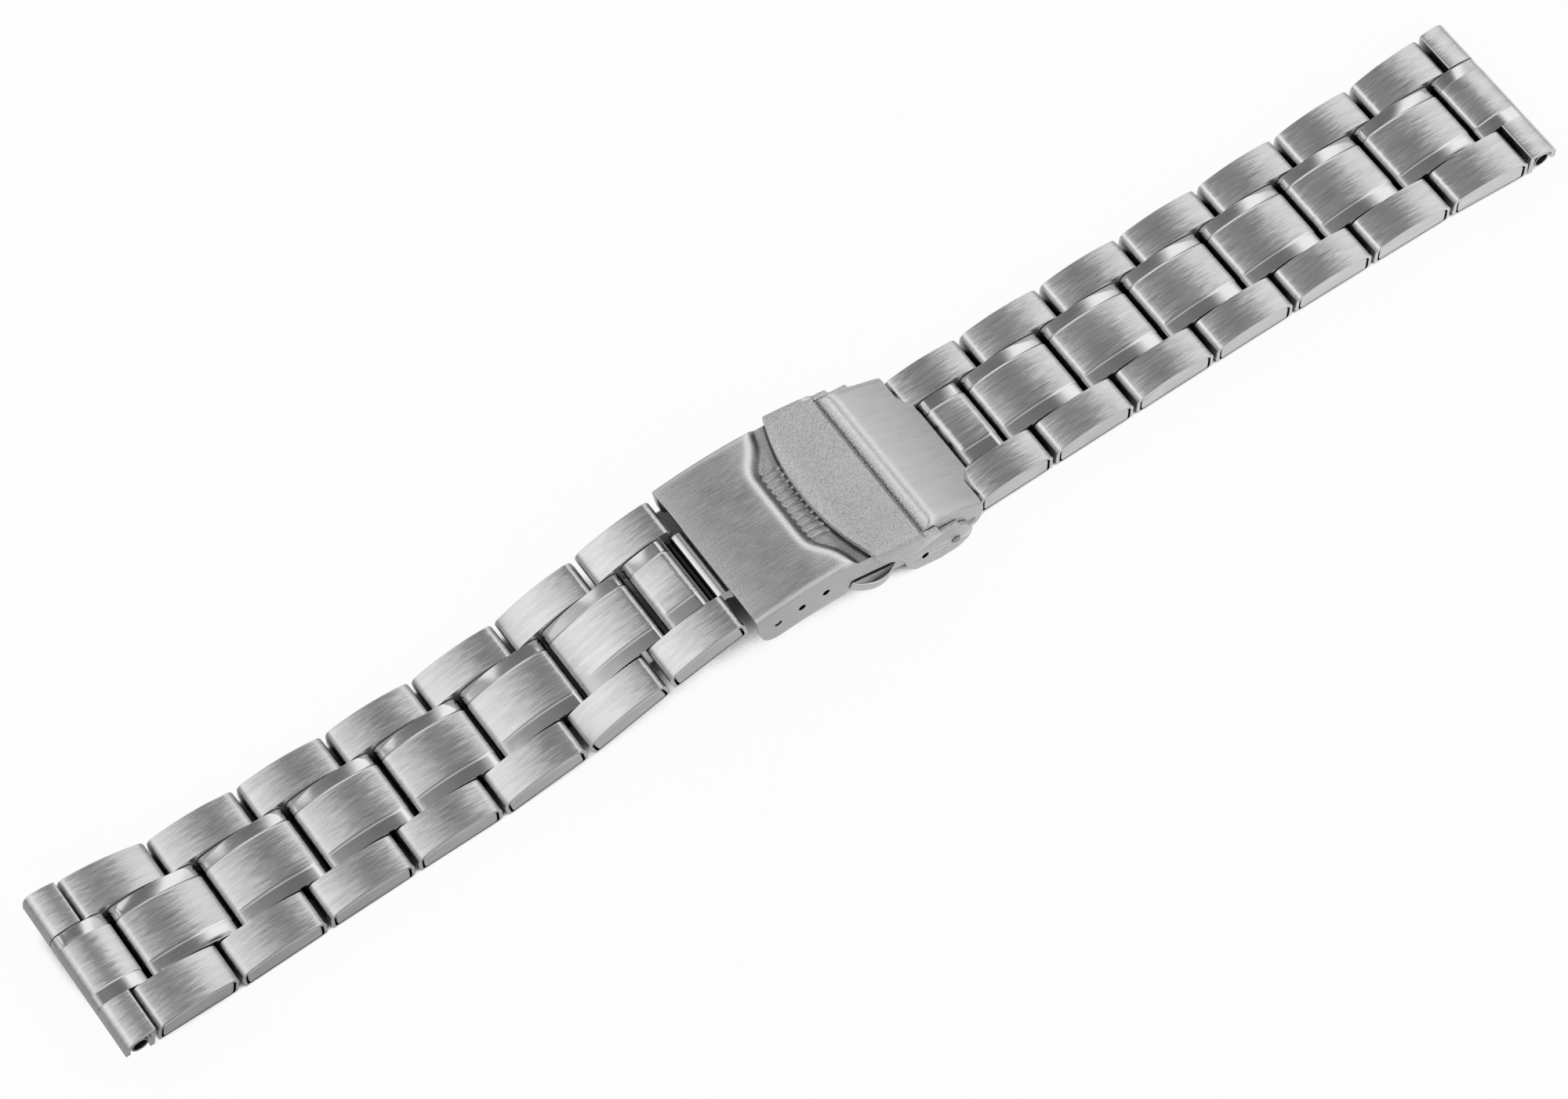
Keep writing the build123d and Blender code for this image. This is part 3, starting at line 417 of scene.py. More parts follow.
def metal(
    name, colour, roughness, grain, bump, stretch,
    spots=0.0, aniso=0.0, source="UV", edge=0.12, rim=0.0, ragged=0.0,
):
    """Steel with a grain of streaks, of blasted dots or of faint marks, and lighter worn edges.

    Grain is how far the tone varies, and stretch how fine the grain is on each axis, per millimetre.
    Spots add dots to the relief, rim is the strength of the painted highlight and shade from the cover's
    rim map, with painted glints, and ragged leans the surface to and fro along the brushing.
    """
    broad_shares = (0.45, 0.22, 0.22)
    cloud_scale, ragged_scale = (0.22, 0.3, 0.3), (0.5, 4.5, 1.0)
    sparkle_scale, spot_scale = (9.0, 9.0, 1.0), 7.0
    edge_from, edge_to = 0.52, 0.62
    relief_depth = 0.03 * MM
    material = bpy.data.materials.new(name)
    material.use_nodes = True
    tree = material.node_tree
    shader = tree.nodes["Principled BSDF"]
    shader.inputs["Metallic"].default_value = 1.0
    shader.inputs["Anisotropic"].default_value = aniso
    shader.inputs["Anisotropic Rotation"].default_value = 0.25
    if aniso:
        tangent = tree.nodes.new("ShaderNodeTangent")
        tangent.direction_type = "UV_MAP"
        feed(tree, tangent.outputs[0], shader.inputs["Tangent"])
    coords = tree.nodes.new("ShaderNodeTexCoord")
    unit = 1.0 if source == "UV" else 1 / MM

    def noise(scale, detail, rough):
        """Cloudy noise with its own scale on each axis."""
        mapping = tree.nodes.new("ShaderNodeMapping")
        mapping.inputs["Scale"].default_value = [unit * value for value in scale]
        feed(tree, coords.outputs[source], mapping.inputs["Vector"])
        texture = tree.nodes.new("ShaderNodeTexNoise")
        feed(tree, mapping.outputs[0], texture.inputs["Vector"])
        for socket, value in (("Scale", 1.0), ("Detail", detail), ("Roughness", rough)):
            texture.inputs[socket].default_value = value
        return texture.outputs["Fac"]

    def span(value, low, high, start=0.3, stop=0.7):
        """Noise brought to a span of values."""
        return ranged(tree, value, start, stop, low, high)

    def added(first, second):
        """Sum of two values."""
        return compute(tree, "ADD", first, second)

    fine = noise(stretch, 3.0, 0.6)
    if len(set(stretch)) == 1:
        broad = noise([value * 2.3 for value in stretch], 2.0, 0.6)
    else:
        broad = noise([value * share for value, share in zip(stretch, broad_shares)], 2.0, 0.5)
    cloud = noise(cloud_scale, 2.0, 0.5)
    streak = added(span(fine, -grain, grain), span(broad, -grain * 0.7, grain * 0.7))
    tone = added(streak, span(cloud, 1 - grain * 0.4, 1 + grain * 0.4))
    geometry = tree.nodes.new("ShaderNodeNewGeometry")
    tone = added(tone, span(geometry.outputs["Pointiness"], 0.0, edge, edge_from, edge_to))
    facing = geometry.outputs["Normal"]
    if ragged:
        slide = compute(tree, "SCALE", tangent.outputs[0], kind="ShaderNodeVectorMath")
        feed(tree, span(noise(ragged_scale, 2.0, 0.6), -ragged, ragged), slide.node.inputs["Scale"])
        leaning = compute(tree, "ADD", facing, slide, kind="ShaderNodeVectorMath")
        facing = compute(tree, "NORMALIZE", leaning, kind="ShaderNodeVectorMath")
    rough = added(span(fine, roughness * 0.75, roughness * 1.25), span(cloud, -0.03, 0.03))
    if rim:
        # Painted highlight and shade from the cover's rim map, with painted glints along the crest.
        rim_map = tree.nodes.new("ShaderNodeUVMap")
        rim_map.uv_map = "rim"
        rim_split = tree.nodes.new("ShaderNodeSeparateXYZ")
        feed(tree, rim_map.outputs[0], rim_split.inputs[0])
        painted_rim_light = rim_split.outputs["X"]
        painted_sparkle = span(noise(sparkle_scale, 2.0, 0.6), 0.2 * rim, 1.6 * rim, 0.35, 0.65)
        tone = added(tone, compute(tree, "MULTIPLY", painted_rim_light, painted_sparkle))
        rough = added(rough, span(painted_rim_light, 0.0, 0.25, 0.0, 1.0))
    feed(tree, mixed(tree, "RGBA", 1.0, (*colour, 1), tone, "MULTIPLY"), shader.inputs["Base Color"])
    feed(tree, rough, shader.inputs["Roughness"])
    height = added(fine, span(noise([spot_scale] * 3, 1.0, 0.5), 0.0, spots)) if spots else fine
    relief = tree.nodes.new("ShaderNodeBump")
    relief.inputs["Strength"].default_value = bump
    relief.inputs["Distance"].default_value = relief_depth
    feed(tree, height, relief.inputs["Height"])
    feed(tree, facing, relief.inputs["Normal"])
    feed(tree, relief.outputs["Normal"], shader.inputs["Normal"])
    return material


brushed = metal(
    "brushed_links", (0.62, 0.62, 0.625), roughness=0.34, grain=0.1, bump=0.35, stretch=(0.3, 7.0, 1.0),
    aniso=0.8, ragged=0.05,
)
side_steel = metal(
    "side_steel", (0.6, 0.6, 0.605), roughness=0.34, grain=0.08, bump=0.3, stretch=(0.4, 5.0, 1.0), aniso=0.3
)
# Painted shade: a near-black steel for faces deep in gaps, valleys and bores, where shade falls.
painted_shade = metal(
    "painted_shade", (0.04, 0.04, 0.042), roughness=0.5, grain=0.2, bump=0.2, stretch=(1.0, 1.0, 1.0), edge=0.0
)

for half in ("left", "right"):
    for number in range(1, row_count + 1):
        start = link_gap if number > 1 else first_start
        end = pitches[number] - link_gap if number < row_count else last_end
        bm = bmesh.new()
        rings = []
        for inner, outer, inset, end_gap, slot in link_sections:
            ring = []
            for x, z in profile(start, end, thickness, inset, end_gap):
                width = half_width(number, x)
                y = inner_face + inner if outer is None else width - outer
                reach = max(0.0, side_round - (width - y))
                z = max(z, side_round - math.sqrt(side_round ** 2 - reach ** 2))
                ring.append((x, y, z))
            rings.append(ring)
        for face in loft(bm, rings, [section[-1] for section in link_sections[1:]]):
            face.material_index = 1 if face.calc_center_median().y > inner_face + 0.5 else 0
        mirrored(bm)
        piece = finish_piece(
            bm, f"{half}_row_{number}_sleeves", f"{half}_row_{number}", (brushed, side_steel, painted_shade),
            number + pattern_starts[half], basis=row_frame(half, number),
        )
        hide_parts(f"{half}_row_{number}_outer_links")

# Centre links: a brushed panel between two lower polished strips, machined from one piece of steel.
# Each turns on the hinge pin of its neighbour, so its end reaches into the next row toward the clasp.
centre_half, panel_half, strip_drop = 4.05, 2.7, 0.17
centre_start, first_centre_start, centre_gap = 2.8, 2.35, 0.2
centre_pattern = 0.37
# Sections from one side to the middle: place across, drop under the panel, inset and slot (1 polished).
centre_sections = (
    (-centre_half, strip_drop, 0.07, 1), (-centre_half + 0.02, strip_drop, 0.02, 1),
    (-centre_half + 0.07, strip_drop, 0.0, 1), (-panel_half - 0.08, strip_drop, 0.0, 1),
    (-panel_half - 0.06, strip_drop - 0.01, 0.0, 1), (-panel_half + 0.03, strip_drop - 0.085, 0.0, 1),
    (-panel_half + 0.17, 0.02, 0.0, 1), (-panel_half + 0.22, 0.0, 0.0, 0), (0.0, 0.0, 0.0, 0),
)
polished = metal(
    "polished_strips", (0.6, 0.6, 0.605), roughness=0.14, grain=0.03, bump=0.04, stretch=(0.5, 3.0, 1.0)
)


def centre_rings(start, end):
    """Rings across a centre link, from one polished strip over the panel to the other, and their slots."""
    rings, slots = [], []
    other_side = [(-y, drop, inset, slot) for y, drop, inset, slot in reversed(centre_sections[:-1])]
    for y, drop, inset, slot in list(centre_sections) + other_side:
        rings.append([(x, y, z) for x, z in profile(start, end, thickness - drop, inset)])
        slots.append(slot)
    return rings, [max(pair) for pair in zip(slots, slots[1:])]


for half in ("left", "right"):
    for number in range(1, row_count):
        bm = bmesh.new()
        begin = (first_centre_start if number == 1 else centre_start) + centre_gap
        loft(bm, *centre_rings(begin, pitches[number] + centre_start - centre_gap))
        piece = finish_piece(
            bm, f"{half}_row_{number}_centre", f"{half}_row_{number}", (brushed, polished),
            number + centre_pattern + pattern_starts[half], basis=row_frame(half, number),
        )
        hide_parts(f"{half}_row_{number}_centre_link")

# Last centre links: the short ones beside the clasp, brushed and polished like the rest, with a thin roof.
# The left one carries a bent steel tongue that turns on the clasp's spring bar.
last_start, last_end_x = 3.0, 7.55
roof_start, roof_underside = 6.3, 2.59
root_radius, loop_radius, bar_bore_radius, knee_x = 0.8, 1.15, 0.7, 9.0
tongue_half, tongue_bevel = 3.83, 0.06
valley = [(7.95, 1.3), (8.2, 1.3), (8.34, 1.7), (8.44, 1.98)]
valley_left, valley_right, valley_top = 7.6, 8.4, 2.0
past_side = 10.0


def plate(bm, outline, low, high, flat=False):
    """Piece with a side view (x, z) between two places across, or with a plan (x, y) between two heights."""
    made = bmesh.ops.create_circle(bm, cap_ends=True, segments=len(outline), radius=1.0)["verts"]
    for vert, (along, other) in zip(made, outline):
        vert.co = (along, other, low) if flat else (along, low, other)
    grown = bmesh.ops.extrude_face_region(bm, geom=[made[0].link_faces[0]])["geom"]
    moved = [item for item in grown if isinstance(item, bmesh.types.BMVert)]
    bmesh.ops.translate(bm, verts=moved, vec=(0, 0, high - low) if flat else (0, high - low, 0))
    edges = {edge for vert in made + moved for edge in vert.link_edges if edge.is_boundary}
    if edges:
        bmesh.ops.holes_fill(bm, edges=list(edges), sides=0)


def ring_of(centre, radius):
    """Outline of a round hole."""
    return around(centre, radius, 0, 345, 23)


def carved(mesh, tools, wall_thickness=0.0):
    """Mesh after a wall is grown inward, where it has a thickness, and after each tool has cut it."""
    host = bpy.data.objects.new("host", mesh)
    bpy.context.scene.collection.objects.link(host)
    if wall_thickness:
        wall = host.modifiers.new("wall", "SOLIDIFY")
        wall.thickness = wall_thickness
        wall.offset = -1
    cutters = []
    for operation, cutter_bm in tools:
        bmesh.ops.recalc_face_normals(cutter_bm, faces=cutter_bm.faces)
        cutter_mesh = bpy.data.meshes.new("cutter")
        cutter_bm.to_mesh(cutter_mesh)
        cutter_bm.free()
        cutter = bpy.data.objects.new("cutter", cutter_mesh)
        bpy.context.scene.collection.objects.link(cutter)
        cut = host.modifiers.new("cut", "BOOLEAN")
        cut.operation = operation
        cut.solver = "EXACT"
        cut.object = cutter
        cutters.append(cutter)
    bpy.context.view_layer.update()
    result = bpy.data.meshes.new_from_object(host.evaluated_get(bpy.context.evaluated_depsgraph_get()))
    for item in [host] + cutters:
        bpy.data.objects.remove(item)
    return result


for half in ("left", "right"):
    rings, skins = centre_rings(last_start, last_end_x)
    for ring in rings:
        for step, (x, y, z) in enumerate(ring):
            if step == 3:
                ring[step] = (roof_start, y, z)
            elif x > roof_start and z < roof_underside:
                ring[step] = (x, y, roof_underside)
    bm = bmesh.new()
    loft(bm, rings, skins)
    if half == "left":
        rise = root_place[1] + root_radius - bar_place[1] - loop_radius
        fall = math.degrees(math.atan2(rise, bar_place[0] - knee_x))
        outline = around(root_place, root_radius, 270, 70, 14) + valley
        outline += [(8.6, 2.08), (knee_x, 2.1), (knee_x + 0.2, 2.04)]
        outline += around(bar_place, loop_radius, 90 - fall, -90 - fall, 22)
        outline += [(knee_x + 0.2, 0.42), (knee_x - 0.3, 0.5)]
        tongue = bmesh.new()
        plate(tongue, outline, -tongue_half, tongue_half)
        rims = [edge for edge in tongue.edges if abs(edge.verts[0].co.y + edge.verts[1].co.y) > tongue_half]
        bmesh.ops.bevel(
            tongue, geom=rims, offset=tongue_bevel, segments=2, profile=0.5, affect="EDGES", material=-1
        )
        bmesh.ops.recalc_face_normals(tongue, faces=tongue.faces)
        tongue_mesh = bpy.data.meshes.new("tongue")
        tongue.to_mesh(tongue_mesh)
        tongue.free()
        bore = bmesh.new()
        plate(bore, ring_of(bar_place, bar_bore_radius), -past_side / 2, past_side / 2)
        bm.from_mesh(carved(tongue_mesh, (("DIFFERENCE", bore),)))
        # Faces down in the tongue's valley get the painted shade.
        for face in bm.faces:
            middle = face.calc_center_median()
            if valley_left < middle.x < valley_right and middle.z < valley_top and face.normal.z > -0.2:
                face.material_index = 2
    piece = finish_piece(
        bm, f"{half}_row_{row_count}_centre", f"{half}_row_{row_count}", (brushed, polished, painted_shade),
        row_count + centre_pattern, basis=row_frame(half, row_count),
    )
    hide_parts(f"{half}_row_{row_count}_centre_link")

# Lug end pieces: steel sheet folded over a tube for the watch's spring bar, with a rounded outer edge.
# Their centre band looks like a centre link and takes the first hinge pin, and a lip closes the edge.
end_left, end_right, nose, lip, sheet = -3.3, -0.15, 2.15, 1.2, 0.5
end_arch, end_crown, end_middle, edge_radius = 7.5, 3.35, -0.4, 1.1
band_top_radius, sheet_top_radius, nose_radius = 0.6, 0.12, 1.2
tube_side, lug_half, shoulder_inner, sheet_foot = -2.8, 8.95, 4.11, 0.4
# Sections across the band: place across, drop under its top, inset and slot.
band_sections = (
    (-4.05, 0.17, 0.06, 1), (-4.04, 0.17, 0.02, 1), (-3.99, 0.17, 0.0, 1), (-2.75, 0.17, 0.0, 1),
    (-2.72, 0.15, 0.0, 1), (-2.67, 0.03, 0.0, 0), (-2.62, 0.0, 0.0, 0), (2.62, 0.0, 0.0, 0),
    (2.67, 0.03, 0.0, 0), (2.72, 0.15, 0.0, 1), (2.75, 0.17, 0.0, 1), (3.99, 0.17, 0.0, 1),
    (4.04, 0.17, 0.02, 1), (4.05, 0.17, 0.06, 1),
)
# Sections across a shoulder: distance from its outer edge, or none at its inner face, and inset.
shoulder_sections = ((None, 0.05), (None, 0.0), (0.1, 0.0), (0.04, 0.015), (0.012, 0.05), (0.0, 0.12))


def end_profile(right, drop, inset, solid):
    """Side view of an end piece as a ring of points, either a folded sheet or a solid band."""
    arch, edge = end_arch - drop - inset, edge_radius - drop - inset
    arch_z = end_crown - end_arch
    edge_x = end_left + edge_radius - drop
    edge_z = arch_z + math.sqrt((end_arch - edge_radius) ** 2 - (end_left + edge_radius - end_middle) ** 2)
    lean = math.degrees(math.atan2(edge_z - arch_z, edge_x - end_middle))
    points = [(edge_x - edge, lip + inset), (edge_x - edge, (lip + edge_z) / 2)]
    points += around((edge_x, edge_z), edge, 180, lean, 8)
    top = band_top_radius - inset if solid else sheet_top_radius
    top_x = right - inset - top
    top_z = arch_z + math.sqrt((arch - top) ** 2 - (top_x - end_middle) ** 2)
    reach = math.degrees(math.atan2(top_z - arch_z, top_x - end_middle))
    points += around((end_middle, arch_z), arch, lean, reach, 14)[1:]
    points += around((top_x, top_z), top, reach, 0, 5)[1:]
    if solid:
        points += around((right - nose_radius, nose_radius), nose_radius - inset, 0, -90, 7)
        points += [(tube_side + inset, inset), (tube_side + inset, lip + inset)]
        return points
    under_x = right - sheet + inset
    points += [(right - inset, sheet_foot + inset), (under_x, sheet_foot + inset)]
    inner, inner_edge = end_arch - sheet + inset, edge_radius - sheet + inset
    under_z = math.sqrt(inner ** 2 - (under_x - end_middle) ** 2)
    under = math.degrees(math.atan2(under_z, under_x - end_middle))
    points += around((end_middle, arch_z), inner, under, lean, 14)
    points += around((edge_x, edge_z), inner_edge, lean, 180, 8)[1:]
    points += [(edge_x - inner_edge, lip + inset)]
    return points


for half in ("left", "right"):
    bm = bmesh.new()
    rings = []
    for y, drop, inset, slot in band_sections:
        rings.append([(x, y, z) for x, z in end_profile(nose, drop, inset, True)])
    band_slots = [section[-1] for section in band_sections]
    loft(bm, rings, [max(pair) for pair in zip(band_slots, band_slots[1:])])
    for side in (-1, 1):
        rings = []
        for short, inset in shoulder_sections:
            ring = []
            for x, z in end_profile(end_right, 0.0, inset, False):
                edge_y = lug_half - (lug_half - half_width(1, 0)) * (x - end_left) / (end_right - end_left)
                y = shoulder_inner if short is None else edge_y - short
                ring.append((x, side * y, z))
            rings.append(ring)
        loft(bm, rings)
    piece = finish_piece(
        bm, f"{half}_end_cap", f"{half}_end_piece", (brushed, polished), 3.1 + pattern_starts[half],
        basis=row_frame(half, 1),
    )
    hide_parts(f"{half}_end_piece")

# Clasp cover: a bent steel sheet with side walls, pressed in under the safety bar, and brushed along.
# The press leaves a soft rounded rim and a ribbed strip for the nail; the walls have three bar holes.
clasp_x = pivots["right_half_pivot"].x - 15.1
arc_radius, arc_x = 41.0, -7.0
arc_z = 9.45 - arc_radius
cover_half, cover_edge, cover_sheet = 8.6, 0.9, 0.7
cover_left, skin_right = -5.493, 22.6
skin_depth, wall_step, wall_steps = 8.5, 0.95, 8
wall_depth, corner_radius = 5.6, 2.0
recess_depth, recess_reach, recess_left, recess_right = 1.0, 9.223, 5.5, 4.65
recess_turn = math.asin(recess_reach / arc_radius)
corner_v, bend_u, bend_v, side_softness = 4.3, 3.5, 6.4, 0.3
rib_reach, rib_pitch, rib_height, rib_count = 4.95, 0.8, 0.16, 5
pin_place, pin_hole_radius, pin_lobe_radius = (12.106, 2.15), 0.51, 1.15
bar_hole_depth, bar_hole_reach, bar_hole_step, bar_hole_radius = 3.0, -3.359, 2.931, 0.4
notch_x, notch_z, notch_half, notch_round, notch_tilt = 0.5, 3.9, 2.75, 0.4, math.radians(17.0)
plate_x, plate_length, plate_half, plate_root_half = 13.5, 1.05, 4.0, 5.6


def on_arc(depth, reach):
    """Point under the clasp's arc, as x and z in the clasp's own plane."""
    share = reach / arc_radius
    return arc_x + (arc_radius - depth) * share, arc_z + (arc_radius - depth) * math.sqrt(1 - share ** 2)


def ease(value, low, high):
    """Smooth rise from 0 at low to 1 at high."""
    share = min(1.0, max(0.0, (value - low) / (high - low)))
    return share * share * (3 - 2 * share)


def recess(reach, y):
    """Depth of the pressed recess under the arc with its ribs, and its painted light: highlight on the rim's
    crest, shade at its foot, darker floor, and the strap's shadow on the right.
    """
    origin, spot = on_arc(recess_depth, recess_reach), on_arc(0.0, reach)
    u = (spot[0] - origin[0]) * math.cos(recess_turn) - (spot[1] - origin[1]) * math.sin(recess_turn)
    v = abs(y)
    corner_side = ((v - corner_v) * 2.0 - (u + recess_left) * 2.1) / 2.9
    bend_side = ((v - bend_v) * 1.2 - (u + bend_u) * 5.2) / 5.337
    slant_sum = math.exp(-corner_side / side_softness) + math.exp(-bend_side / side_softness)
    slant = -side_softness * math.log(slant_sum)
    sides = (u - recess_right, -recess_left - u, slant)
    outside = side_softness * math.log(sum(math.exp(side / side_softness) for side in sides))
    depth = recess_depth - 0.5 * ease(outside, -0.15, 1.0) - 0.5 * ease(outside, -0.15, 1.5)
    # Painted highlight along the rim's crest, painted shade at its foot, and darker over the recess floor.
    crest_highlight = math.exp(-((outside - 1.15) / 0.45) ** 2)
    foot = math.exp(-((outside + 0.05) / 0.3) ** 2)
    tone = crest_highlight - 0.9 * foot - 0.35 * (1 - ease(outside, -0.4, 0.0))
    # A painted shadow of the strap on the band to the right of it.
    if u > 2.5:
        tone -= 0.55 * ease(outside, -0.4, 0.1) * (1 - ease(outside, 0.6, 1.1))
    rib = round(y / rib_pitch)
    if abs(rib) <= rib_count:
        off_rib = abs(y / rib_pitch - rib) * rib_pitch
        depth += rib_height * (1 - ease(off_rib, 0.1, 0.24)) * (1 - ease(abs(reach - rib_reach), 0.85, 1.05))
    return depth, tone


def paint_bore_shade(bm, bores, radius):
    """Gives the walls of bores across a piece its second material, a painted shade."""
    for face in bm.faces:
        middle = face.calc_center_median()
        near = min(math.hypot(middle.x - x, middle.z - z) for x, z in bores)
        if near < radius and abs(face.normal.y) < 0.5:
            face.material_index = 1


across = [(-cover_half, skin_depth - wall_step * step) for step in range(wall_steps)]
for angle in (0, 15, 30, 45, 60, 75):
    lean = math.radians(angle)
    across.append((-cover_half + cover_edge * (1 - math.cos(lean)), cover_edge * (1 - math.sin(lean))))
places = [cover_edge - cover_half + 0.25 * step for step in range(13)]
places += [-4.6 + 0.1 * step for step in range(47)]
across += [(y, 0.0) for y in places]
across += [(-y, depth) for y, depth in reversed(across[:-1])]
reach_steps = 150
reaches = [cover_left + (skin_right - cover_left) * step / reach_steps for step in range(reach_steps + 1)]
run = [0.0]
for (y, depth), (last_y, last_depth) in zip(across[1:], across):
    run.append(run[-1] + math.hypot(y - last_y, depth - last_depth))
bm = bmesh.new()
made = bmesh.ops.create_grid(bm, x_segments=reach_steps, y_segments=len(across) - 1, size=1.0)["verts"]
uv = bm.loops.layers.uv.verify()
# A second UV map carries the rim's painted highlight and shade to the cover's steel.
painted_light_uv = bm.loops.layers.uv.new("rim")
spots, rim_light_and_shade = {}, {}
for vert in made:
    column = round((vert.co.x + 1) / 2 * reach_steps)
    row = round((vert.co.y + 1) / 2 * (len(across) - 1))
    y, depth = across[row]
    spots[vert] = (reaches[column], run[row])
    hollow, tone = recess(reaches[column], y)
    rim_light_and_shade[vert] = tone if depth < 0.5 else 0.0
    x, z = on_arc(max(depth, hollow), reaches[column])
    vert.co = (x, y, z)
for face in bm.faces:
    for loop in face.loops:
        loop[uv].uv = spots[loop.vert]
        loop[painted_light_uv].uv = (rim_light_and_shade[loop.vert], 0.0)
bmesh.ops.recalc_face_normals(bm, faces=bm.faces)
if sum(face.normal.z for face in bm.faces) < 0:
    bmesh.ops.reverse_faces(bm, faces=bm.faces)
cover_mesh = bpy.data.meshes.new("cover_skin")
bm.to_mesh(cover_mesh)
bm.free()

# What is kept of the skin: the side view with its rounded lower left corners and the lobes for the pin.
corner_arc = arc_radius - wall_depth + corner_radius
left_turn = math.degrees(math.asin(cover_left / arc_radius))
corner_turn = left_turn + math.degrees(math.asin(corner_radius / corner_arc))
lean = math.radians(corner_turn)
corner = (arc_x + corner_arc * math.sin(lean), arc_z + corner_arc * math.cos(lean))
side_view = [(-16.0, 12.0), (-16.0, corner[1] + 1.0)]
side_view += around(corner, corner_radius, 180 - left_turn, 270 - corner_turn, 10)
side_view += [on_arc(wall_depth, reach) for reach in range(-2, 17, 2)]
side_view = [spot for spot in side_view if spot[1] > 1.0]
side_view += around(pin_place, pin_lobe_radius, 270, 360, 8)
side_view += [(13.125, 3.307), (14.15, 2.6), (16.0, 1.6), (16.0, 12.0)]
outer = bmesh.new()
plate(outer, side_view, -past_side, past_side)

# And the plan, where a narrow plate goes on past the right end.
plan_view = [(-16.0, past_side), (-16.0, -past_side)]
for step in range(41):
    y = -past_side + 0.5 * step
    plan_view.append((plate_x + plate_length * (1 - ease(abs(y), plate_half, plate_root_half)), y))
plan = bmesh.new()
plate(plan, plan_view, -2.0, 13.0, flat=True)

# The buttons' notches, the spring bar holes and the pin's hole go through both walls.
turn_cos, turn_sin = math.cos(notch_tilt), math.sin(notch_tilt)
straight = [(-notch_half, -6.0), (notch_half, -6.0)]
straight += around((notch_half - notch_round, 0.45), notch_round, 0, 90, 5)
straight += around((notch_round - notch_half, 0.45), notch_round, 90, 180, 5)
notch = [
    (notch_x + x * turn_cos + z * turn_sin, notch_z - x * turn_sin + z * turn_cos) for x, z in straight
]
bar_holes = [on_arc(bar_hole_depth, bar_hole_reach + bar_hole_step * step) for step in range(3)]
holes = bmesh.new()
plate(holes, notch, -past_side, past_side)
for spot in bar_holes:
    plate(holes, ring_of(spot, bar_hole_radius), -past_side, past_side)
plate(holes, ring_of(pin_place, pin_hole_radius), -past_side, past_side)

tools = (("INTERSECT", outer), ("INTERSECT", plan), ("DIFFERENCE", holes))
bm = bmesh.new()
bm.from_mesh(carved(cover_mesh, tools, wall_thickness=cover_sheet))
bmesh.ops.remove_doubles(bm, verts=bm.verts, dist=1e-5)
# The walls of the spring bar holes get painted shade.
paint_bore_shade(bm, bar_holes, bar_hole_radius + 0.02)
bmesh.ops.translate(bm, verts=bm.verts, vec=(clasp_x, 0, 0))
cover_steel = metal(
    "cover_steel", (0.62, 0.62, 0.625), roughness=0.38, grain=0.05, bump=0.4, stretch=(0.5, 7.0, 1.0),
    spots=0.5, aniso=0.6, rim=0.5, ragged=0.02,
)
piece = finish_piece(bm, "clasp_cover_shell", "clasp_cover", (cover_steel, painted_shade), 5.3)
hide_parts("clasp_cover")

# Safety bar: a steel strap over the cover, folded down at both sides into arms, punched and blasted.
# Each arm turns on a rivet in the cover's wall and has a spare hole beside it.
rivet = pivots["safety_bar_pivot"]
spare_hole = (rivet.x - 3.574, rivet.z + 0.647)
spare_hole_reach = 0.44
blasted = metal(
    "blasted_steel", (0.58, 0.58, 0.585), roughness=0.33, grain=0.13, bump=1.0, stretch=(4.5, 4.5, 4.5),
    spots=1.4, source="Object", edge=0.5,
)


def softened(node, body, material, offset, bores=()):
    """Copy of a solid with its doubles merged, its sharp edges rounded and its bores, if any, painted dark
    as shade.
    """
    bm = bmesh.new()
    bm.from_mesh(frame["nodes"][node].data)
    bmesh.ops.scale(bm, vec=(1 / MM, 1 / MM, 1 / MM), verts=bm.verts)
    bmesh.ops.remove_doubles(bm, verts=bm.verts, dist=1e-4)
    bmesh.ops.dissolve_limit(bm, angle_limit=math.radians(0.05), verts=bm.verts, edges=bm.edges)
    edges = [edge for edge in bm.edges if edge.calc_face_angle(0) > math.radians(32)]
    bmesh.ops.bevel(
        bm, geom=edges, offset=offset, segments=2, profile=0.5, affect="EDGES", clamp_overlap=True,
        material=-1,
    )
    if bores:
        paint_bore_shade(bm, bores, spare_hole_reach)
    piece = finish_piece(bm, f"{node}_soft", body, (material, painted_shade), 1.0)
    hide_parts(node)


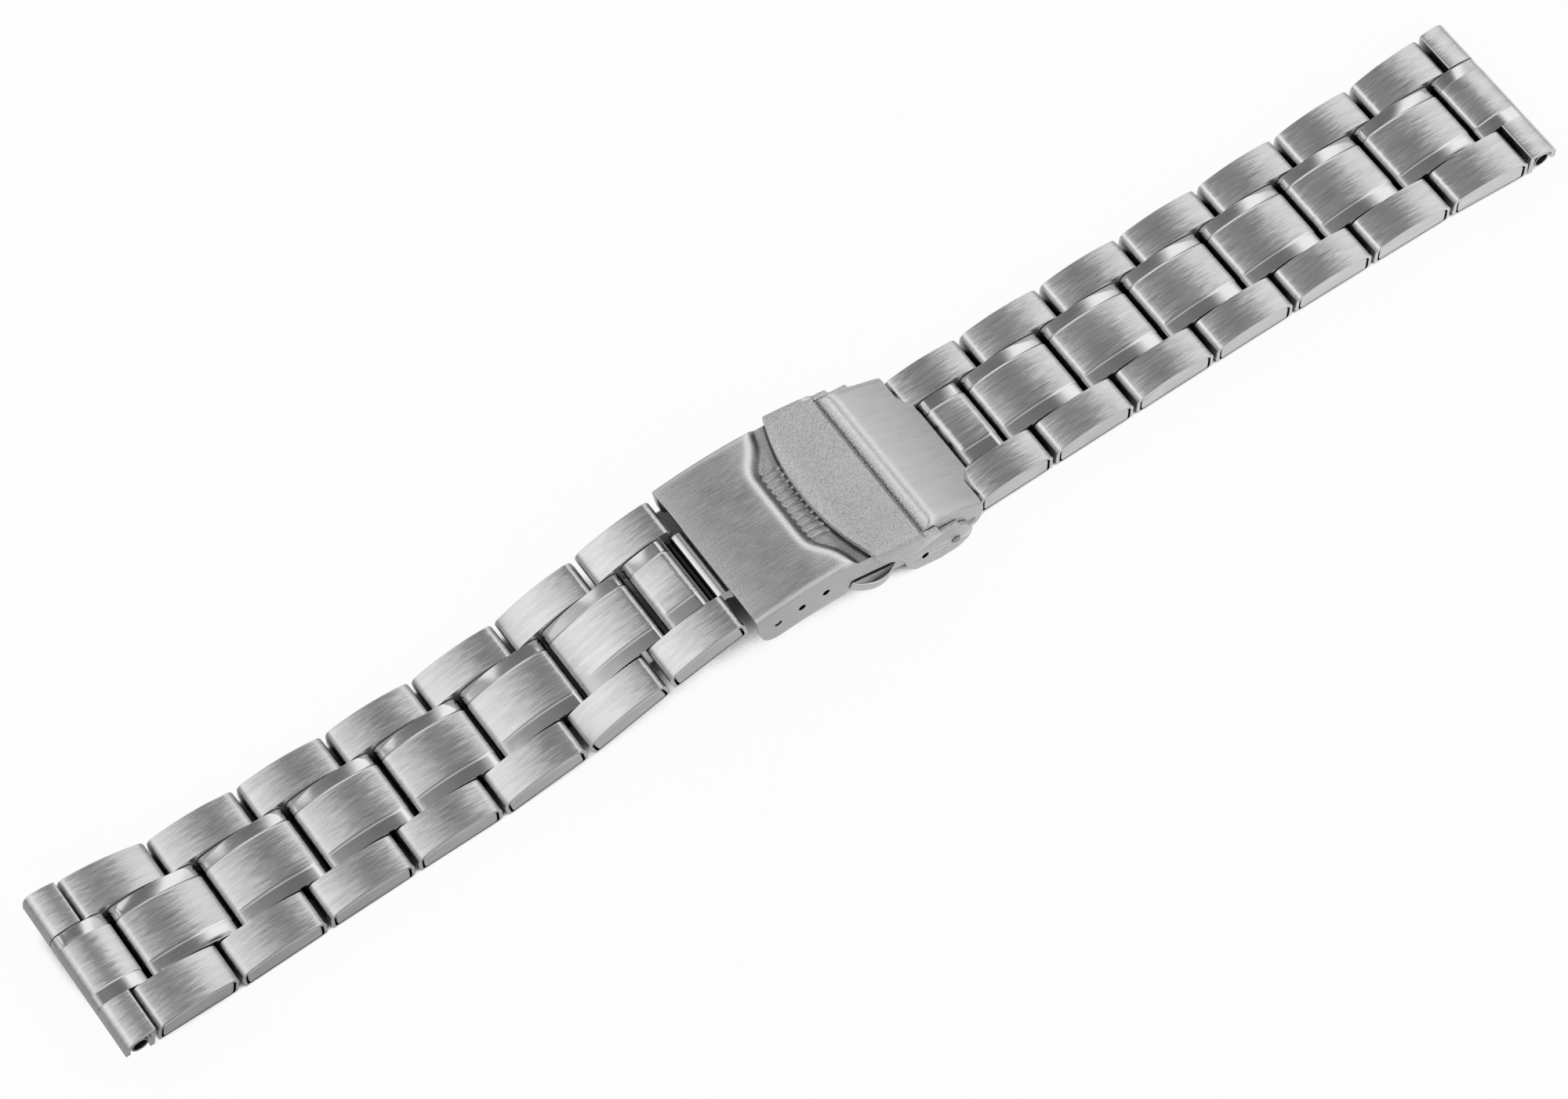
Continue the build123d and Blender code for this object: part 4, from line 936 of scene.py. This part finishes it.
softened("safety_bar", "safety_bar", blasted, 0.08, bores=(spare_hole,))

# Push buttons: two half-round plates of polished steel that stand out of the notches in the cover's
# walls. Their heads sit in the bottom blade's latch box, where a spring keeps the two apart.
button_steel = metal(
    "button_steel", (0.62, 0.62, 0.625), roughness=0.12, grain=0.03, bump=0.05, stretch=(1.0, 1.0, 1.0),
    source="Object",
)
for side in ("near", "far"):
    softened(f"push_button_{side}", f"push_button_{side}", button_steel, 0.12)

# Blades: two bent strips of steel sheet with tumbled edges, folded under the cover while it is shut.
# The middle one turns on the cover's pin, and the bottom one, with its latch box, on the middle one.
blade_steel = metal(
    "blade_steel", (0.6, 0.6, 0.605), roughness=0.3, grain=0.07, bump=0.3, stretch=(0.3, 5.0, 5.0),
    source="Object",
)
for blade in ("middle_blade", "bottom_blade"):
    softened(blade, blade, blade_steel, 0.05)

# End tubes: the drawn steel tubes that take the watch's spring bars, one at each end of the bracelet.
# Each lies in the fold of its end piece's sheet, and its open ends show at the lug.
# Their steel is painted darker than the rest, as shade in the fold.
painted_shade_tube_steel = metal(
    "painted_shade_tube_steel", (0.3, 0.3, 0.305), roughness=0.3, grain=0.05, bump=0.1, stretch=(3.0, 3.0, 3.0),
    source="Object",
)
for half in ("left", "right"):
    softened(f"{half}_end_tube", f"{half}_end_piece", painted_shade_tube_steel, 0.05)

# Pins and springs: turned steel pins, the clasp's spring bar and coils of drawn wire, mostly hidden
# inside the links and the clasp. They keep the solids' own meshes and only get their steel here.
pin_steel = metal(
    "pin_steel", (0.5, 0.5, 0.505), roughness=0.25, grain=0.05, bump=0.1, stretch=(4.0, 0.5, 4.0),
    source="Object",
)
spring_steel = metal(
    "spring_steel", (0.45, 0.45, 0.46), roughness=0.25, grain=0.05, bump=0.1, stretch=(4.0, 4.0, 4.0),
    source="Object",
)
for name, node in frame["nodes"].items():
    if name.endswith(("_pins", "_tube")) or "tip" in name or name == "blade_pin":
        node.data.materials.clear()
        # The cover's pins take the same darker, shade-painted steel.
        node.data.materials.append(painted_shade_tube_steel if name == "clasp_cover_pins" else pin_steel)
    elif name.endswith("_spring"):
        node.data.materials.clear()
        node.data.materials.append(spring_steel)
